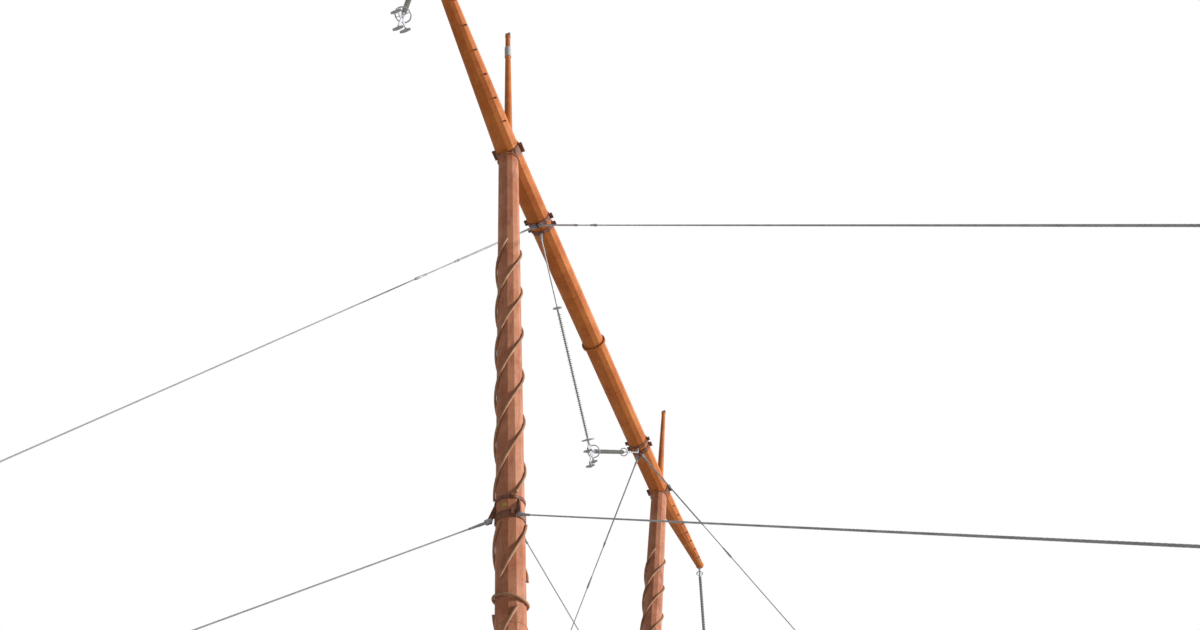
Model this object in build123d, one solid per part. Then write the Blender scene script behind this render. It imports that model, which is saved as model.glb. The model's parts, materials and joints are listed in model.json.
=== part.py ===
"""Guyed V transmission tower of twelve-sided weathering steel tube.

Two straight legs lean apart from one concrete footing and carry a crossarm whose outer arms
sweep up. Eight guys and one tie hold the legs. A V-string under the middle and one suspension
string under each arm tip hold the clamps for three bundles of three conductors.

Axes: +X along the crossarm, +Y along the line that the tower carries, +Z up. The origin is on
the underside of the footing, midway between the legs. Sizes are in millimetres.
"""
import os
from math import atan2, cos, degrees, hypot, pi, radians, sin, sqrt, tan

from build123d import *

os.makedirs("parts", exist_ok=True)

# Overall layout
ARM_HEIGHT = 29300
LEG_SPACING = 14400
LEG_LEAN = 11.4
ARM_LENGTH = 25700
ARM_KINK_X = 7430
ARM_TIP_RISE = 990
MAST_HEIGHT = 5460
ANCHOR_X = 17400
ANCHOR_Y = 17700

# Tubes
SIDES = 12
WALL = 8
ARM_DIAMETER = 670
ARM_TIP_DIAMETER = 300
LEG_END_DIAMETER = 560
LEG_MIDDLE_DIAMETER = 660
LEG_TOP_DROP = 450
MAST_BASE_DIAMETER = 250
MAST_TIP_DIAMETER = 150
MAST_RIB_HEIGHT = 450
END_PLATE = 30

# Running and seating clearances
FIT = 0.3
SIDE_GAP = 2

# Facets of small round pieces
BAR_SIDES = 6
PIN_SIDES = 8
RING_BAR_SIDES = 4

# Crossarm fittings
FLANGE_DIAMETER = 790
FLANGE_SIDES = 24
FLANGE_THICKNESS = 40
SADDLE_WIDTH = 280
SADDLE_THICKNESS = 30
SADDLE_PLATE = 640
SADDLE_WEB_SPREAD = 360
EAR_REACH = 85
EAR_THICKNESS = 60
GUY_BAND_X = 4870
GUY_BAND_WIDTH = 160
STRING_BAND_X = 4600
STRING_BAND_WIDTH = 120
BAND_THICKNESS = 25
GUY_LINE_DROP = 324

# Leg collars and strakes, as distances down the leg from the crossarm axis
UPPER_COLLAR_DROP = 11890
UPPER_COLLAR_WIDTH = 80
LOWER_COLLAR_DROP = 12320
LOWER_COLLAR_WIDTH = 160
GUY_COLLAR_DROP = 11902
HOOP_DROP = 14290
HOOP_SECTION = 66
HOOP_TILT = 14
HOOP_LOW_SIDE = 285
HOOP_STEPS = 16
STRAKE_TOP_DROP = 3886
STRAKE_PITCH = 4120
STRAKE_STARTS = 3
STRAKE_HEIGHT = 56
STRAKE_THICKNESS = 52
STRAKE_TOP_ANGLE = 315
STRAKE_STRETCHES = ((0, 23), (25, 29), (31, 65))

# Guys, their forks and lugs
GUY_DIAMETER = 34
SOCKET_DIAMETER = 60
SOCKET_LENGTH = 420
GUY_LINK_LENGTH = 2900
GUY_LINK_DIAMETER = 50
GUY_ROD_LENGTH = 1100
UPPER_PIN_REACH = 150
LOWER_PIN_REACH = 540
TIE_PIN_REACH = 470
TIE_DIAMETER = 28
GUY_PIN = 22
GUY_LUG = 30
GUY_LUG_LENGTH = 176
GUY_FORK_WIDTH = 110
GUY_FORK_REACH = 110
GUY_CHEEK = 20

# Ground anchors and footing
ANCHOR_PIN_HEIGHT = 420
ANCHOR_PIN_STEP = 190
ANCHOR_BASE = 760
ANCHOR_BASE_WIDTH = 420
ANCHOR_BASE_THICKNESS = 30
ANCHOR_WEB_INSET = 60
FOOTING_LENGTH = 3700
FOOTING_WIDTH = 1500
FOOTING_HEIGHT = 350
FOOTING_CHAMFER = 40
SHOE_PLATE = 720
SHOE_PLATE_THICKNESS = 40
SHOE_BOSS_DIAMETER = 300
SHOE_BOSS_LENGTH = 190
SHOE_RIB_THICKNESS = 24
SHOE_RIB_HEIGHT = 133
SHOE_RIB_INSET = 36

# Strings, their forks and lugs
STRING_PIN = 14
STRING_LUG = 24
STRING_FORK_WIDTH = 70
STRING_FORK_REACH = 80
STRING_CHEEK = 14
STRING_EYE = 75
TIP_LUG_INSET = 110
ROD_DIAMETER = 44
INSULATOR_LENGTH = 4000
INSULATOR_ROD = 52
SHED_DIAMETER = 140
SHED_THICKNESS = 26
SHED_COUNT = 6
END_CAP_DIAMETER = 76
END_CAP_LENGTH = 130
SMALL_RING_DIAMETER = 250
LARGE_RING_DIAMETER = 360
RING_SECTION = 30
RING_STEPS = 10
YOKE_DROP = 5126
YOKE_THICKNESS = 20
YOKE_REACH = 200
BUNDLE_SPACING = 457
CONDUCTOR_DIAMETER = 30
CLAMP_LENGTH = 260
CLAMP_WIDTH = 64
CLAMP_HEIGHT = 70
CLAMP_HANG = 110
CLAMP_PIN = 10
CLAMP_CHEEK = 10
CLAMP_FORK_WIDTH = 44
SHIELD_WIRE_DIAMETER = 16
SHIELD_CLAMP_LENGTH = 160
SHIELD_CLAMP_SIZE = 60
SHIELD_STEM = 40
SHIELD_STEM_HEIGHT = 120

LEAN = radians(LEG_LEAN)
LEG_X = LEG_SPACING / 2
TIP_X = ARM_LENGTH / 2
ARM_RADIUS = ARM_DIAMETER / 2
FLAT_TURN = 180 / SIDES
FLAT = cos(radians(FLAT_TURN))
LEG_LENGTH = ARM_HEIGHT / cos(LEAN)
SHOE_HEIGHT = FOOTING_HEIGHT + SHOE_PLATE_THICKNESS
LEG_FOOT_DROP = LEG_LENGTH - (SHOE_HEIGHT / cos(LEAN) + SHOE_BOSS_LENGTH)
LEG_MIDDLE_DROP = (LEG_TOP_DROP + LEG_FOOT_DROP) / 2
ARM_RISE_ANGLE = degrees(atan2(ARM_TIP_RISE, TIP_X - ARM_KINK_X))


def unit(vector):
    return vector * (1 / vector.length)


def leg_frame(side):
    """A leg's own frame: origin on the crossarm axis, Z up along the leg."""
    return Plane(origin=(side * LEG_X, 0, ARM_HEIGHT),
                 x_dir=(cos(LEAN), 0, -side * sin(LEAN)),
                 z_dir=(side * sin(LEAN), 0, cos(LEAN))).location


def upright(point, azimuth):
    """A vertical plane through a point: local X outwards along the azimuth, local Y up."""
    turn = radians(azimuth)
    return Plane(origin=point, x_dir=(cos(turn), sin(turn), 0),
                 z_dir=(sin(turn), -cos(turn), 0)).location


def along(start, end):
    """The vertical plane of a line: local X along the line, local Z level across it."""
    run = unit(Vector(end) - Vector(start))
    across = unit(Vector(run.Y, -run.X, 0))
    return Plane(origin=start, x_dir=run, z_dir=across).location


def corners(radius, sides, turn=0):
    """The corners of a regular polygon about the origin."""
    angles = [radians(turn + 360 * index / sides) for index in range(sides)]
    return [(radius * cos(angle), radius * sin(angle)) for angle in angles]


def skin(rings, closed=False, twisted=False):
    """A solid of flat faces that join each ring of points to the next one."""
    faces = []
    for near, far in zip(rings, rings[1:] + rings[:1] if closed else rings[1:]):
        for index in range(len(near)):
            after = (index + 1) % len(near)
            quad = [near[index], near[after], far[after], far[index]]
            flat_pieces = [quad[:3], [quad[0]] + quad[2:]] if twisted else [quad]
            faces += [Face(Wire.make_polygon(piece)) for piece in flat_pieces]
    if not closed:
        faces += [Face(Wire.make_polygon(ring)) for ring in (rings[0], rings[-1])]
    return Solid(Shell(faces))


def stepped_bar(profile, sides=BAR_SIDES):
    """A bar along +X from (place, radius) pairs, with a flat face at each step."""
    return skin([[(place, *corner) for corner in corners(radius, sides)] for place, radius in profile])


def polygon_bar(radius, length):
    """A straight bar along +X from the origin."""
    return stepped_bar([(0, radius), (length, radius)])


def pin_hole(pin, turn=0):
    """A hole that clears a pin, with its corners on the line that the fork pulls along."""
    return RegularPolygon(pin + FIT, PIN_SIDES, major_radius=False, rotation=turn)


def leg_radius(drop):
    """Corner radius of a leg at a distance down from the crossarm axis."""
    share = abs(drop - LEG_MIDDLE_DROP) / (LEG_MIDDLE_DROP - LEG_TOP_DROP)
    return (LEG_MIDDLE_DIAMETER + share * (LEG_END_DIAMETER - LEG_MIDDLE_DIAMETER)) / 2


def tapered(bottom_z, bottom_radius, top_z, top_radius):
    """A solid twelve-sided bar along Z whose flats face X and Y."""
    ends = ((bottom_z, bottom_radius), (top_z, top_radius))
    return skin([[(*corner, z) for corner in corners(radius, SIDES, FLAT_TURN)] for z, radius in ends])


def tube(bottom_z, bottom_radius, top_z, top_radius):
    inner = tapered(bottom_z, bottom_radius - WALL, top_z, top_radius - WALL)
    return tapered(bottom_z, bottom_radius, top_z, top_radius) - inner


def fork(pin, plate, width, reach, cheek):
    """Two cheeks, their pin along Z at the origin, and the block that joins them at +X."""
    gap = plate + 2 * SIDE_GAP
    outline = Pos((reach - width / 2) / 2, 0) * Rectangle(reach + width / 2, width)
    outline = chamfer(outline.vertices().sort_by(Axis.X)[:2], width / 4)
    side_plate = Pos(0, 0, gap / 2) * extrude(outline, cheek)
    depth = gap + 2 * cheek
    block = Pos(reach - cheek / 2, 0, 0) * Box(cheek, width, depth)
    pin_bar = extrude(RegularPolygon(pin, PIN_SIDES, rotation=180 / PIN_SIDES), (depth - cheek) / 2, both=True)
    return side_plate + mirror(side_plate, Plane.XY) + block + pin_bar


def eye(pin, plate, width, length):
    """A lug plate with its pin hole at the origin and its root at -X."""
    outline = Pos((width / 2 - length) / 2, 0) * Rectangle(length + width / 2, width)
    outline = chamfer(outline.vertices().sort_by(Axis.X)[-2:], width / 4)
    return extrude(outline - pin_hole(pin), plate / 2, both=True)


def split_ears(radius, width, angles):
    """The bolted ears of a split clamp round the Z axis, clear of the tube inside it."""
    reach = radius + EAR_REACH
    root = radius * FLAT
    ears = [Rot(0, 0, angle) * Pos((root + reach) / 2, 0, 0) * Box(reach - root, EAR_THICKNESS, width)
            for angle in angles]
    return ears


def ring_clamp(radius, thickness, width, angles):
    """A twelve-sided split clamp round the Z axis, centred on the origin."""
    outer = RegularPolygon(radius + thickness, SIDES, rotation=FLAT_TURN)
    ring = extrude(outer, width / 2, both=True)
    for ear in split_ears(radius + thickness, width, angles):
        ring += ear
    return ring - extrude(RegularPolygon(radius, SIDES, rotation=FLAT_TURN), width, both=True)


def round_ring(diameter, section, steps):
    """A ring of bar round the Z axis, bent in short straight lengths."""
    cuts = []
    for step in range(steps):
        turn = 2 * pi * step / steps
        cuts.append([((diameter / 2 + out) * cos(turn), (diameter / 2 + out) * sin(turn), up)
                     for out, up in corners(section / 2, RING_BAR_SIDES)])
    return skin(cuts, closed=True)


# Legs
def leg_upper(side):
    shell = tube(-LEG_MIDDLE_DROP, leg_radius(LEG_MIDDLE_DROP), -LEG_TOP_DROP, leg_radius(LEG_TOP_DROP))
    plate = Pos(0, 0, -LEG_TOP_DROP) * extrude(
        RegularPolygon(SADDLE_PLATE / 2, SIDES, rotation=FLAT_TURN), END_PLATE)
    return leg_frame(side) * (shell + plate)


def leg_lower(side):
    shell = tube(-LEG_FOOT_DROP, leg_radius(LEG_FOOT_DROP), -LEG_MIDDLE_DROP, leg_radius(LEG_MIDDLE_DROP))
    plate = Pos(0, 0, -LEG_FOOT_DROP) * extrude(
        RegularPolygon(leg_radius(LEG_FOOT_DROP) + END_PLATE, SIDES, rotation=FLAT_TURN), END_PLATE)
    return leg_frame(side) * (shell + plate)


def strake_section(step, start):
    """The corners of one strake's cut where it crosses a corner of the tube."""
    drop = STRAKE_TOP_DROP + step * STRAKE_PITCH / SIDES
    turn = radians(STRAKE_TOP_ANGLE - step * 360 / SIDES + start * 360 / STRAKE_STARTS)
    rise = atan2(STRAKE_PITCH, 2 * pi * leg_radius(drop))
    foot = STRAKE_THICKNESS / 2 / cos(rise)
    root = leg_radius(drop) + FIT
    profile = ((root, -foot), (root + STRAKE_HEIGHT, 0), (root, foot))
    return [(reach * cos(turn), reach * sin(turn), up - drop) for reach, up in profile]


def leg_strakes(side):
    ribs = []
    for first, last in STRAKE_STRETCHES:
        for start in range(STRAKE_STARTS):
            cuts = [strake_section(step, start) for step in range(first, last + 1)]
            ribs.append(leg_frame(side) * skin(cuts, twisted=True))
    return ribs


def leg_hoop(side):
    tilt = radians(HOOP_TILT)
    low_drop = HOOP_DROP + leg_radius(HOOP_DROP) * tan(tilt)
    reach = leg_radius(low_drop) + FIT + HOOP_SECTION / 2 * cos(tilt)
    half_step = 180 / HOOP_STEPS
    ring = round_ring(2 * reach / cos(tilt) / cos(radians(half_step)), HOOP_SECTION, HOOP_STEPS)
    lean = Rot(0, 0, HOOP_LOW_SIDE) * Rot(0, HOOP_TILT, 0) * Rot(0, 0, half_step)
    return leg_frame(side) * Pos(0, 0, -HOOP_DROP) * lean * ring


# Guy lines: each is known by its two pin points
def collar_centre(side):
    """Where the lines of the lower guys and the tie meet, on the leg's axis."""
    return Vector(side * (LEG_X - GUY_COLLAR_DROP * tan(LEAN)), 0, ARM_HEIGHT - GUY_COLLAR_DROP)


def band_centre(side):
    """Where the lines of the upper guys meet, under the crossarm's axis."""
    return Vector(side * GUY_BAND_X, 0, ARM_HEIGHT - GUY_LINE_DROP)


def anchor_pin(side, face, upper):
    inset = 0 if upper else ANCHOR_PIN_STEP
    azimuth = atan2(ANCHOR_Y, ANCHOR_X - GUY_BAND_X)
    height = ANCHOR_PIN_HEIGHT if upper else ANCHOR_PIN_HEIGHT - ANCHOR_PIN_STEP / 2
    return Vector(side * (ANCHOR_X - inset * cos(azimuth)), face * (ANCHOR_Y - inset * sin(azimuth)), height)


def guy_pin(side, face, upper):
    centre = band_centre(side) if upper else collar_centre(side)
    reach = UPPER_PIN_REACH if upper else LOWER_PIN_REACH
    return centre + unit(anchor_pin(side, face, upper) - centre) * reach


def line_slope(side, face, upper):
    """The angle below the horizon of a guy's line, seen from its upper end."""
    run = anchor_pin(side, face, upper) - guy_pin(side, face, upper)
    return degrees(atan2(run.Z, hypot(run.X, run.Y)))


def guy_fork():
    socket = Pos(GUY_FORK_REACH, 0, 0) * polygon_bar(SOCKET_DIAMETER / 2, SOCKET_LENGTH)
    return fork(GUY_PIN, GUY_LUG, GUY_FORK_WIDTH, GUY_FORK_REACH, GUY_CHEEK) + socket


def guy(side, face, upper):
    top = guy_pin(side, face, upper)
    bottom = anchor_pin(side, face, upper)
    length = (bottom - top).length
    end = GUY_FORK_REACH + SOCKET_LENGTH
    profile = [(end, GUY_DIAMETER / 2), (length - end, GUY_DIAMETER / 2)]
    if upper:
        link_end = end + GUY_LINK_LENGTH
        rod_end = link_end + GUY_ROD_LENGTH
        socket_end = rod_end + SOCKET_LENGTH
        profile = [(end, GUY_LINK_DIAMETER / 2), (link_end, GUY_LINK_DIAMETER / 2), (link_end, GUY_DIAMETER / 2),
                   (rod_end, GUY_DIAMETER / 2), (rod_end, SOCKET_DIAMETER / 2), (socket_end, SOCKET_DIAMETER / 2),
                   (socket_end, GUY_DIAMETER / 2), profile[1]]
    far_end = Pos(length, 0, 0) * Rot(0, 0, 180) * guy_fork()
    return along(top, bottom) * (guy_fork() + stepped_bar(profile) + far_end)


def guy_anchor(side, face):
    """A plate on edge with two pin holes, on a base plate that lies on the ground."""
    upper_pin = anchor_pin(side, face, True)
    lower_pin = anchor_pin(side, face, False)
    azimuth = degrees(atan2(face * ANCHOR_Y, side * (ANCHOR_X - GUY_BAND_X)))
    foot = Vector((upper_pin.X + lower_pin.X) / 2, (upper_pin.Y + lower_pin.Y) / 2, 0)
    half = ANCHOR_PIN_STEP / 2
    edge = GUY_FORK_WIDTH / 2
    top = ANCHOR_PIN_HEIGHT
    toe = ANCHOR_BASE / 2 - ANCHOR_WEB_INSET
    web = Polygon((-toe, 0), (toe, 0), (half + edge, top - edge / 2),
                  (half + edge / 2, top + edge), (half - edge / 2, top + edge),
                  (-half - edge, top - half + edge / 2), (-half - edge, top - half - edge / 2), align=None)
    holes = Pos(half, top) * pin_hole(GUY_PIN, line_slope(side, face, True))
    holes += Pos(-half, top - half) * pin_hole(GUY_PIN, line_slope(side, face, False))
    plate = upright(foot, azimuth) * extrude(web - holes, GUY_LUG / 2, both=True)
    base = Pos(foot.X, foot.Y, ANCHOR_BASE_THICKNESS / 2) * Rot(0, 0, azimuth) * Box(
        ANCHOR_BASE, ANCHOR_BASE_WIDTH, ANCHOR_BASE_THICKNESS)
    return plate + base


def collar_rise(side, drop, azimuth, reach):
    """Height of a collar's middle over the point where the guys' lines meet, at a reach along an azimuth."""
    middle = GUY_COLLAR_DROP - drop * cos(LEAN)
    across = reach * cos(radians(azimuth)) - side * middle * tan(LEAN)
    return middle - side * across * tan(LEAN)


def leg_collar(side):
    """Two split clamps joined by the lug plates of two guys and the tie."""
    widest = leg_radius(LOWER_COLLAR_DROP + LOWER_COLLAR_WIDTH / 2) + FIT
    ears = (30, 210)
    upper = Pos(0, 0, -UPPER_COLLAR_DROP) * ring_clamp(widest, BAND_THICKNESS, UPPER_COLLAR_WIDTH, ears)
    lower = Pos(0, 0, -LOWER_COLLAR_DROP) * ring_clamp(widest, BAND_THICKNESS, LOWER_COLLAR_WIDTH, ears)
    collar = leg_frame(side) * upper + leg_frame(side) * lower
    centre = collar_centre(side)
    edge = GUY_FORK_WIDTH / 2
    rim = widest + BAND_THICKNESS
    for face in (-1, 1):
        pin = guy_pin(side, face, False)
        out = hypot(pin.X - centre.X, pin.Y)
        down = pin.Z - centre.Z
        azimuth = degrees(atan2(pin.Y, pin.X - centre.X))
        top = collar_rise(side, UPPER_COLLAR_DROP, azimuth, rim)
        bottom = collar_rise(side, LOWER_COLLAR_DROP, azimuth, rim)
        outline = Polygon((0, top), (rim, top), (out + edge, down + edge / 2), (out + edge, down - edge / 2),
                          (out + edge / 3, down - edge), (out - edge, down - edge), (rim, bottom),
                          (0, bottom), align=None)
        outline -= Pos(out, down) * pin_hole(GUY_PIN, line_slope(side, face, False))
        collar += upright(centre, azimuth) * extrude(outline, GUY_LUG / 2, both=True)
    inwards = 90 + side * 90
    top = collar_rise(side, UPPER_COLLAR_DROP, inwards, rim)
    bottom = collar_rise(side, LOWER_COLLAR_DROP, inwards, rim)
    outline = Polygon((0, top), (rim, top), (TIE_PIN_REACH + edge, edge), (TIE_PIN_REACH + edge, -edge),
                      (rim, bottom), (0, bottom), align=None)
    outline -= Pos(TIE_PIN_REACH, 0) * pin_hole(GUY_PIN)
    collar += upright(centre, inwards) * extrude(outline, GUY_LUG / 2, both=True)
    middle = (UPPER_COLLAR_DROP + LOWER_COLLAR_DROP) / 2
    core = tapered(-middle - ARM_DIAMETER, widest, -middle + ARM_DIAMETER, widest)
    return collar - leg_frame(side) * core


def leg_tie():
    start = collar_centre(-1) + Vector(TIE_PIN_REACH, 0, 0)
    end = collar_centre(1) - Vector(TIE_PIN_REACH, 0, 0)
    length = (end - start).length
    run = GUY_FORK_REACH + SOCKET_LENGTH
    strand = Pos(run, 0, 0) * polygon_bar(TIE_DIAMETER / 2, length - 2 * run)
    far_end = Pos(length, 0, 0) * Rot(0, 0, 180) * guy_fork()
    return along(start, end) * (guy_fork() + strand + far_end)


# Crossarm
def arm_location(x):
    """A frame on the crossarm's axis whose Z runs along +X."""
    return Plane(origin=(x, 0, ARM_HEIGHT), x_dir=(0, 1, 0), z_dir=(1, 0, 0)).location


def mitre(side, way):
    """A block that ends in the bend's mitre plane, on its outer (1) or inner (-1) side."""
    turn = radians(ARM_RISE_ANGLE / 2)
    size = 4 * ARM_DIAMETER
    frame = Plane(origin=(side * ARM_KINK_X, 0, ARM_HEIGHT),
                  x_dir=(0, 1, 0), z_dir=(side * cos(turn), 0, sin(turn)))
    return frame.location * extrude(Rectangle(size, size), way * ARM_LENGTH)


def inner_arm(side):
    bar = tube(0, ARM_RADIUS, ARM_KINK_X + ARM_DIAMETER, ARM_RADIUS)
    bore = RegularPolygon(ARM_RADIUS - WALL, SIDES, rotation=FLAT_TURN)
    flange = extrude(RegularPolygon(FLANGE_DIAMETER / 2, FLANGE_SIDES) - bore, FLANGE_THICKNESS)
    arm = bar + flange
    arm = arm_location(0) * arm
    if side < 0:
        arm = mirror(arm, Plane.YZ)
    return arm - mitre(side, 1)


def outer_arm(side):
    rise = radians(ARM_RISE_ANGLE)
    length = hypot(TIP_X - ARM_KINK_X, ARM_TIP_RISE)
    tip_radius = ARM_TIP_DIAMETER / 2
    slope = (ARM_RADIUS - tip_radius) / length
    start = -ARM_RADIUS
    shell = tube(start, ARM_RADIUS - slope * start, length, tip_radius)
    plate = Pos(0, 0, length - END_PLATE) * extrude(
        RegularPolygon(tip_radius + END_PLATE / 2, SIDES, rotation=FLAT_TURN), END_PLATE)
    frame = Plane(origin=(side * ARM_KINK_X, 0, ARM_HEIGHT), x_dir=(0, side, 0),
                  z_dir=(side * cos(rise), 0, sin(rise)))
    arm = frame.location * (shell + plate)
    lug_x = TIP_X - TIP_LUG_INSET
    under = ARM_HEIGHT + (lug_x - ARM_KINK_X) * tan(rise)
    drop = under - string_pin_z(True)
    lug = eye(STRING_PIN, STRING_LUG, STRING_FORK_WIDTH, drop - tip_radius / 2)
    lug = Plane(origin=(side * lug_x, 0, string_pin_z(True)), x_dir=(0, 0, -1), z_dir=(1, 0, 0)).location * lug
    hollow = frame.location * tapered(0, ARM_RADIUS - WALL, length - END_PLATE, tip_radius - WALL)
    return arm - mitre(side, -1) + (lug - hollow)


def string_pin_z(tip):
    """Height of the pin that a string swings on."""
    if tip:
        slope = ARM_TIP_RISE / (TIP_X - ARM_KINK_X)
        under = ARM_HEIGHT + ARM_TIP_RISE - TIP_LUG_INSET * slope - ARM_TIP_DIAMETER / 2
        return under - STRING_EYE
    return ARM_HEIGHT - ARM_RADIUS * FLAT - BAND_THICKNESS - STRING_EYE


def arm_band(side):
    """The split clamps that hold the upper guys and one end of the V-string."""
    ears = (0, 180)
    wide = arm_location(side * GUY_BAND_X) * ring_clamp(ARM_RADIUS + FIT, BAND_THICKNESS, GUY_BAND_WIDTH, ears)
    slim = arm_location(side * STRING_BAND_X) * ring_clamp(
        ARM_RADIUS + FIT, BAND_THICKNESS, STRING_BAND_WIDTH, ears)
    bore = RegularPolygon(ARM_RADIUS + FIT, SIDES, rotation=FLAT_TURN)
    bore = arm_location(0) * extrude(bore, ARM_LENGTH, both=True)
    for face in (-1, 1):
        pin = guy_pin(side, face, True)
        lug = eye(GUY_PIN, GUY_LUG, GUY_FORK_WIDTH, GUY_LUG_LENGTH)
        wide += along(pin, anchor_pin(side, face, True)) * lug
    depth = STRING_EYE + BAND_THICKNESS
    lug = eye(STRING_PIN, STRING_LUG, STRING_FORK_WIDTH, depth)
    slim += Plane(origin=(side * STRING_BAND_X, 0, string_pin_z(False)),
                  x_dir=(0, 0, -1), z_dir=(1, 0, 0)).location * lug
    return [wide - bore, slim - bore]


def saddle(side):
    """The clamp that seats the crossarm on a leg, with webs down to the leg's top plate."""
    frame = arm_location(side * LEG_X)
    clamp = frame * ring_clamp(ARM_RADIUS + FIT, SADDLE_THICKNESS, SADDLE_WIDTH, (0, 180))
    drop = ARM_RADIUS * FLAT + SADDLE_THICKNESS
    top = ARM_HEIGHT - ARM_RADIUS / 2
    webs = Pos(side * LEG_X, 0, top - drop) * Box(END_PLATE, SADDLE_WEB_SPREAD, 2 * drop)
    for face in (-1, 1):
        webs += Pos(side * LEG_X, face * SADDLE_WEB_SPREAD / 2, top - drop) * Box(
            SADDLE_WIDTH, END_PLATE, 2 * drop)
    bore = frame * extrude(RegularPolygon(ARM_RADIUS + FIT, SIDES, rotation=FLAT_TURN), SADDLE_WIDTH, both=True)
    below = leg_frame(side) * Pos(0, 0, -LEG_TOP_DROP + END_PLATE - ARM_DIAMETER) * Box(
        2 * SADDLE_PLATE, 2 * SADDLE_PLATE, 2 * ARM_DIAMETER)
    return clamp + webs - bore - below


# Masts
def mast_line(side, height):
    """A point on a mast's axis, which carries on the line of its leg."""
    return Vector(side * (LEG_X + height * tan(LEAN)), 0, ARM_HEIGHT + height)


def mast(side):
    seat = (ARM_RADIUS + FIT + SADDLE_THICKNESS) * FLAT + FIT
    length = MAST_HEIGHT / cos(LEAN)
    start = seat / cos(LEAN) - MAST_BASE_DIAMETER / 2
    shell = tube(start, MAST_BASE_DIAMETER / 2, length, MAST_TIP_DIAMETER / 2)
    cap = Pos(0, 0, length - END_PLATE / 2) * extrude(
        RegularPolygon(MAST_TIP_DIAMETER / 2 + END_PLATE / 2, SIDES, rotation=FLAT_TURN), END_PLATE / 2)
    post = leg_frame(side) * (shell + cap)
    foot = mast_line(side, seat)
    below = Pos(foot.X, 0, foot.Z - ARM_DIAMETER) * Box(4 * ARM_DIAMETER, 4 * ARM_DIAMETER, 2 * ARM_DIAMETER)
    plate = Pos(foot.X, 0, foot.Z + END_PLATE / 2) * Box(SADDLE_WIDTH, MAST_BASE_DIAMETER, END_PLATE)
    ribs = Pos(foot.X, 0, foot.Z) * (Plane.YZ.location * extrude(
        Polygon((-MAST_BASE_DIAMETER / 2, 0), (MAST_BASE_DIAMETER / 2, 0), (0, MAST_RIB_HEIGHT), align=None),
        END_PLATE / 4, both=True))
    hollow = MAST_BASE_DIAMETER / 2 - WALL
    inside = leg_frame(side) * tapered(start, hollow, length / 2, hollow)
    return (post - below) + plate + (ribs - inside)


def mast_clamp(side):
    """A bracket on the mast cap with the clamp for one shield wire, its bore along Y."""
    length = MAST_HEIGHT / cos(LEAN)
    top = leg_frame(side).position + Vector(side * sin(LEAN), 0, cos(LEAN)) * (length + END_PLATE / 2)
    stem = leg_frame(side) * Pos(0, 0, length) * extrude(
        Rectangle(SHIELD_STEM, SHIELD_CLAMP_SIZE), SHIELD_STEM_HEIGHT)
    place = Pos(top.X + side * SHIELD_STEM_HEIGHT * tan(LEAN), 0, top.Z + SHIELD_STEM_HEIGHT)
    head = place * Box(SHIELD_CLAMP_SIZE, SHIELD_CLAMP_LENGTH, SHIELD_CLAMP_SIZE)
    bore = place * Rot(90, 0, 0) * Cylinder(SHIELD_WIRE_DIAMETER / 2, 2 * SHIELD_CLAMP_LENGTH)
    return stem + head - bore


# Strings
def hanger(point):
    """A link that turns on a pin along X and holds the next pin along Y."""
    upper = Plane(origin=point, x_dir=(0, 0, -1), z_dir=(1, 0, 0)).location * fork(
        STRING_PIN, STRING_LUG, STRING_FORK_WIDTH, STRING_FORK_REACH, STRING_CHEEK)
    low = point - Vector(0, 0, STRING_FORK_REACH + STRING_EYE)
    lower = Plane(origin=low, x_dir=(0, 0, -1), z_dir=(0, 1, 0)).location * eye(
        STRING_PIN, STRING_LUG, STRING_FORK_WIDTH, STRING_EYE + STRING_CHEEK / 2)
    return upper + lower


def next_pin(point):
    return point - Vector(0, 0, STRING_FORK_REACH + STRING_EYE)


def string_top(tip, side):
    x = TIP_X - TIP_LUG_INSET if tip else STRING_BAND_X
    return Vector(side * x, 0, string_pin_z(tip))


def insulator():
    """A long rod insulator along +X with its sheds and two end caps."""
    cap = END_CAP_DIAMETER / 2
    root = INSULATOR_ROD / 2
    pitch = (INSULATOR_LENGTH - 2 * END_CAP_LENGTH) / SHED_COUNT
    profile = [(0, cap), (END_CAP_LENGTH, cap), (END_CAP_LENGTH, root)]
    for shed in range(SHED_COUNT):
        place = END_CAP_LENGTH + (shed + 0.5) * pitch
        profile += [(place - SHED_THICKNESS, root), (place, SHED_DIAMETER / 2), (place, root)]
    far_cap = INSULATOR_LENGTH - END_CAP_LENGTH
    return stepped_bar(profile + [(far_cap, root), (far_cap, cap), (INSULATOR_LENGTH, cap)])


def link(length, ring_diameter):
    """A fork and rod along +X, with an arcing ring round the insulator's end cap."""
    piece = fork(STRING_PIN, STRING_LUG, STRING_FORK_WIDTH, STRING_FORK_REACH, STRING_CHEEK)
    piece += Pos(STRING_FORK_REACH, 0, 0) * polygon_bar(ROD_DIAMETER / 2, length - STRING_FORK_REACH)
    ring = Pos(length - RING_SECTION, 0, 0) * Rot(0, 90, 0) * round_ring(ring_diameter, RING_SECTION, RING_STEPS)
    spoke = Pos(length - RING_SECTION, 0, 0) * Box(RING_SECTION, RING_SECTION / 2, ring_diameter)
    return piece + ring + spoke


def string_axis(start, end):
    """A frame at the start whose X runs to the end and whose Z is level, along -Y or +Y."""
    run = unit(end - start)
    return Plane(origin=start, x_dir=run, z_dir=(0, 1, 0)).location


def v_corner(side):
    """Where one leg of the V-string is pinned to its yoke."""
    start = next_pin(string_top(False, side))
    vertex = Vector(0, 0, ARM_HEIGHT - YOKE_DROP)
    run = unit(start - vertex)
    return vertex + run * YOKE_REACH


def v_link_length(side):
    start = next_pin(string_top(False, side))
    return (v_corner(side) - start).length - INSULATOR_LENGTH - STRING_FORK_REACH


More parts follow.
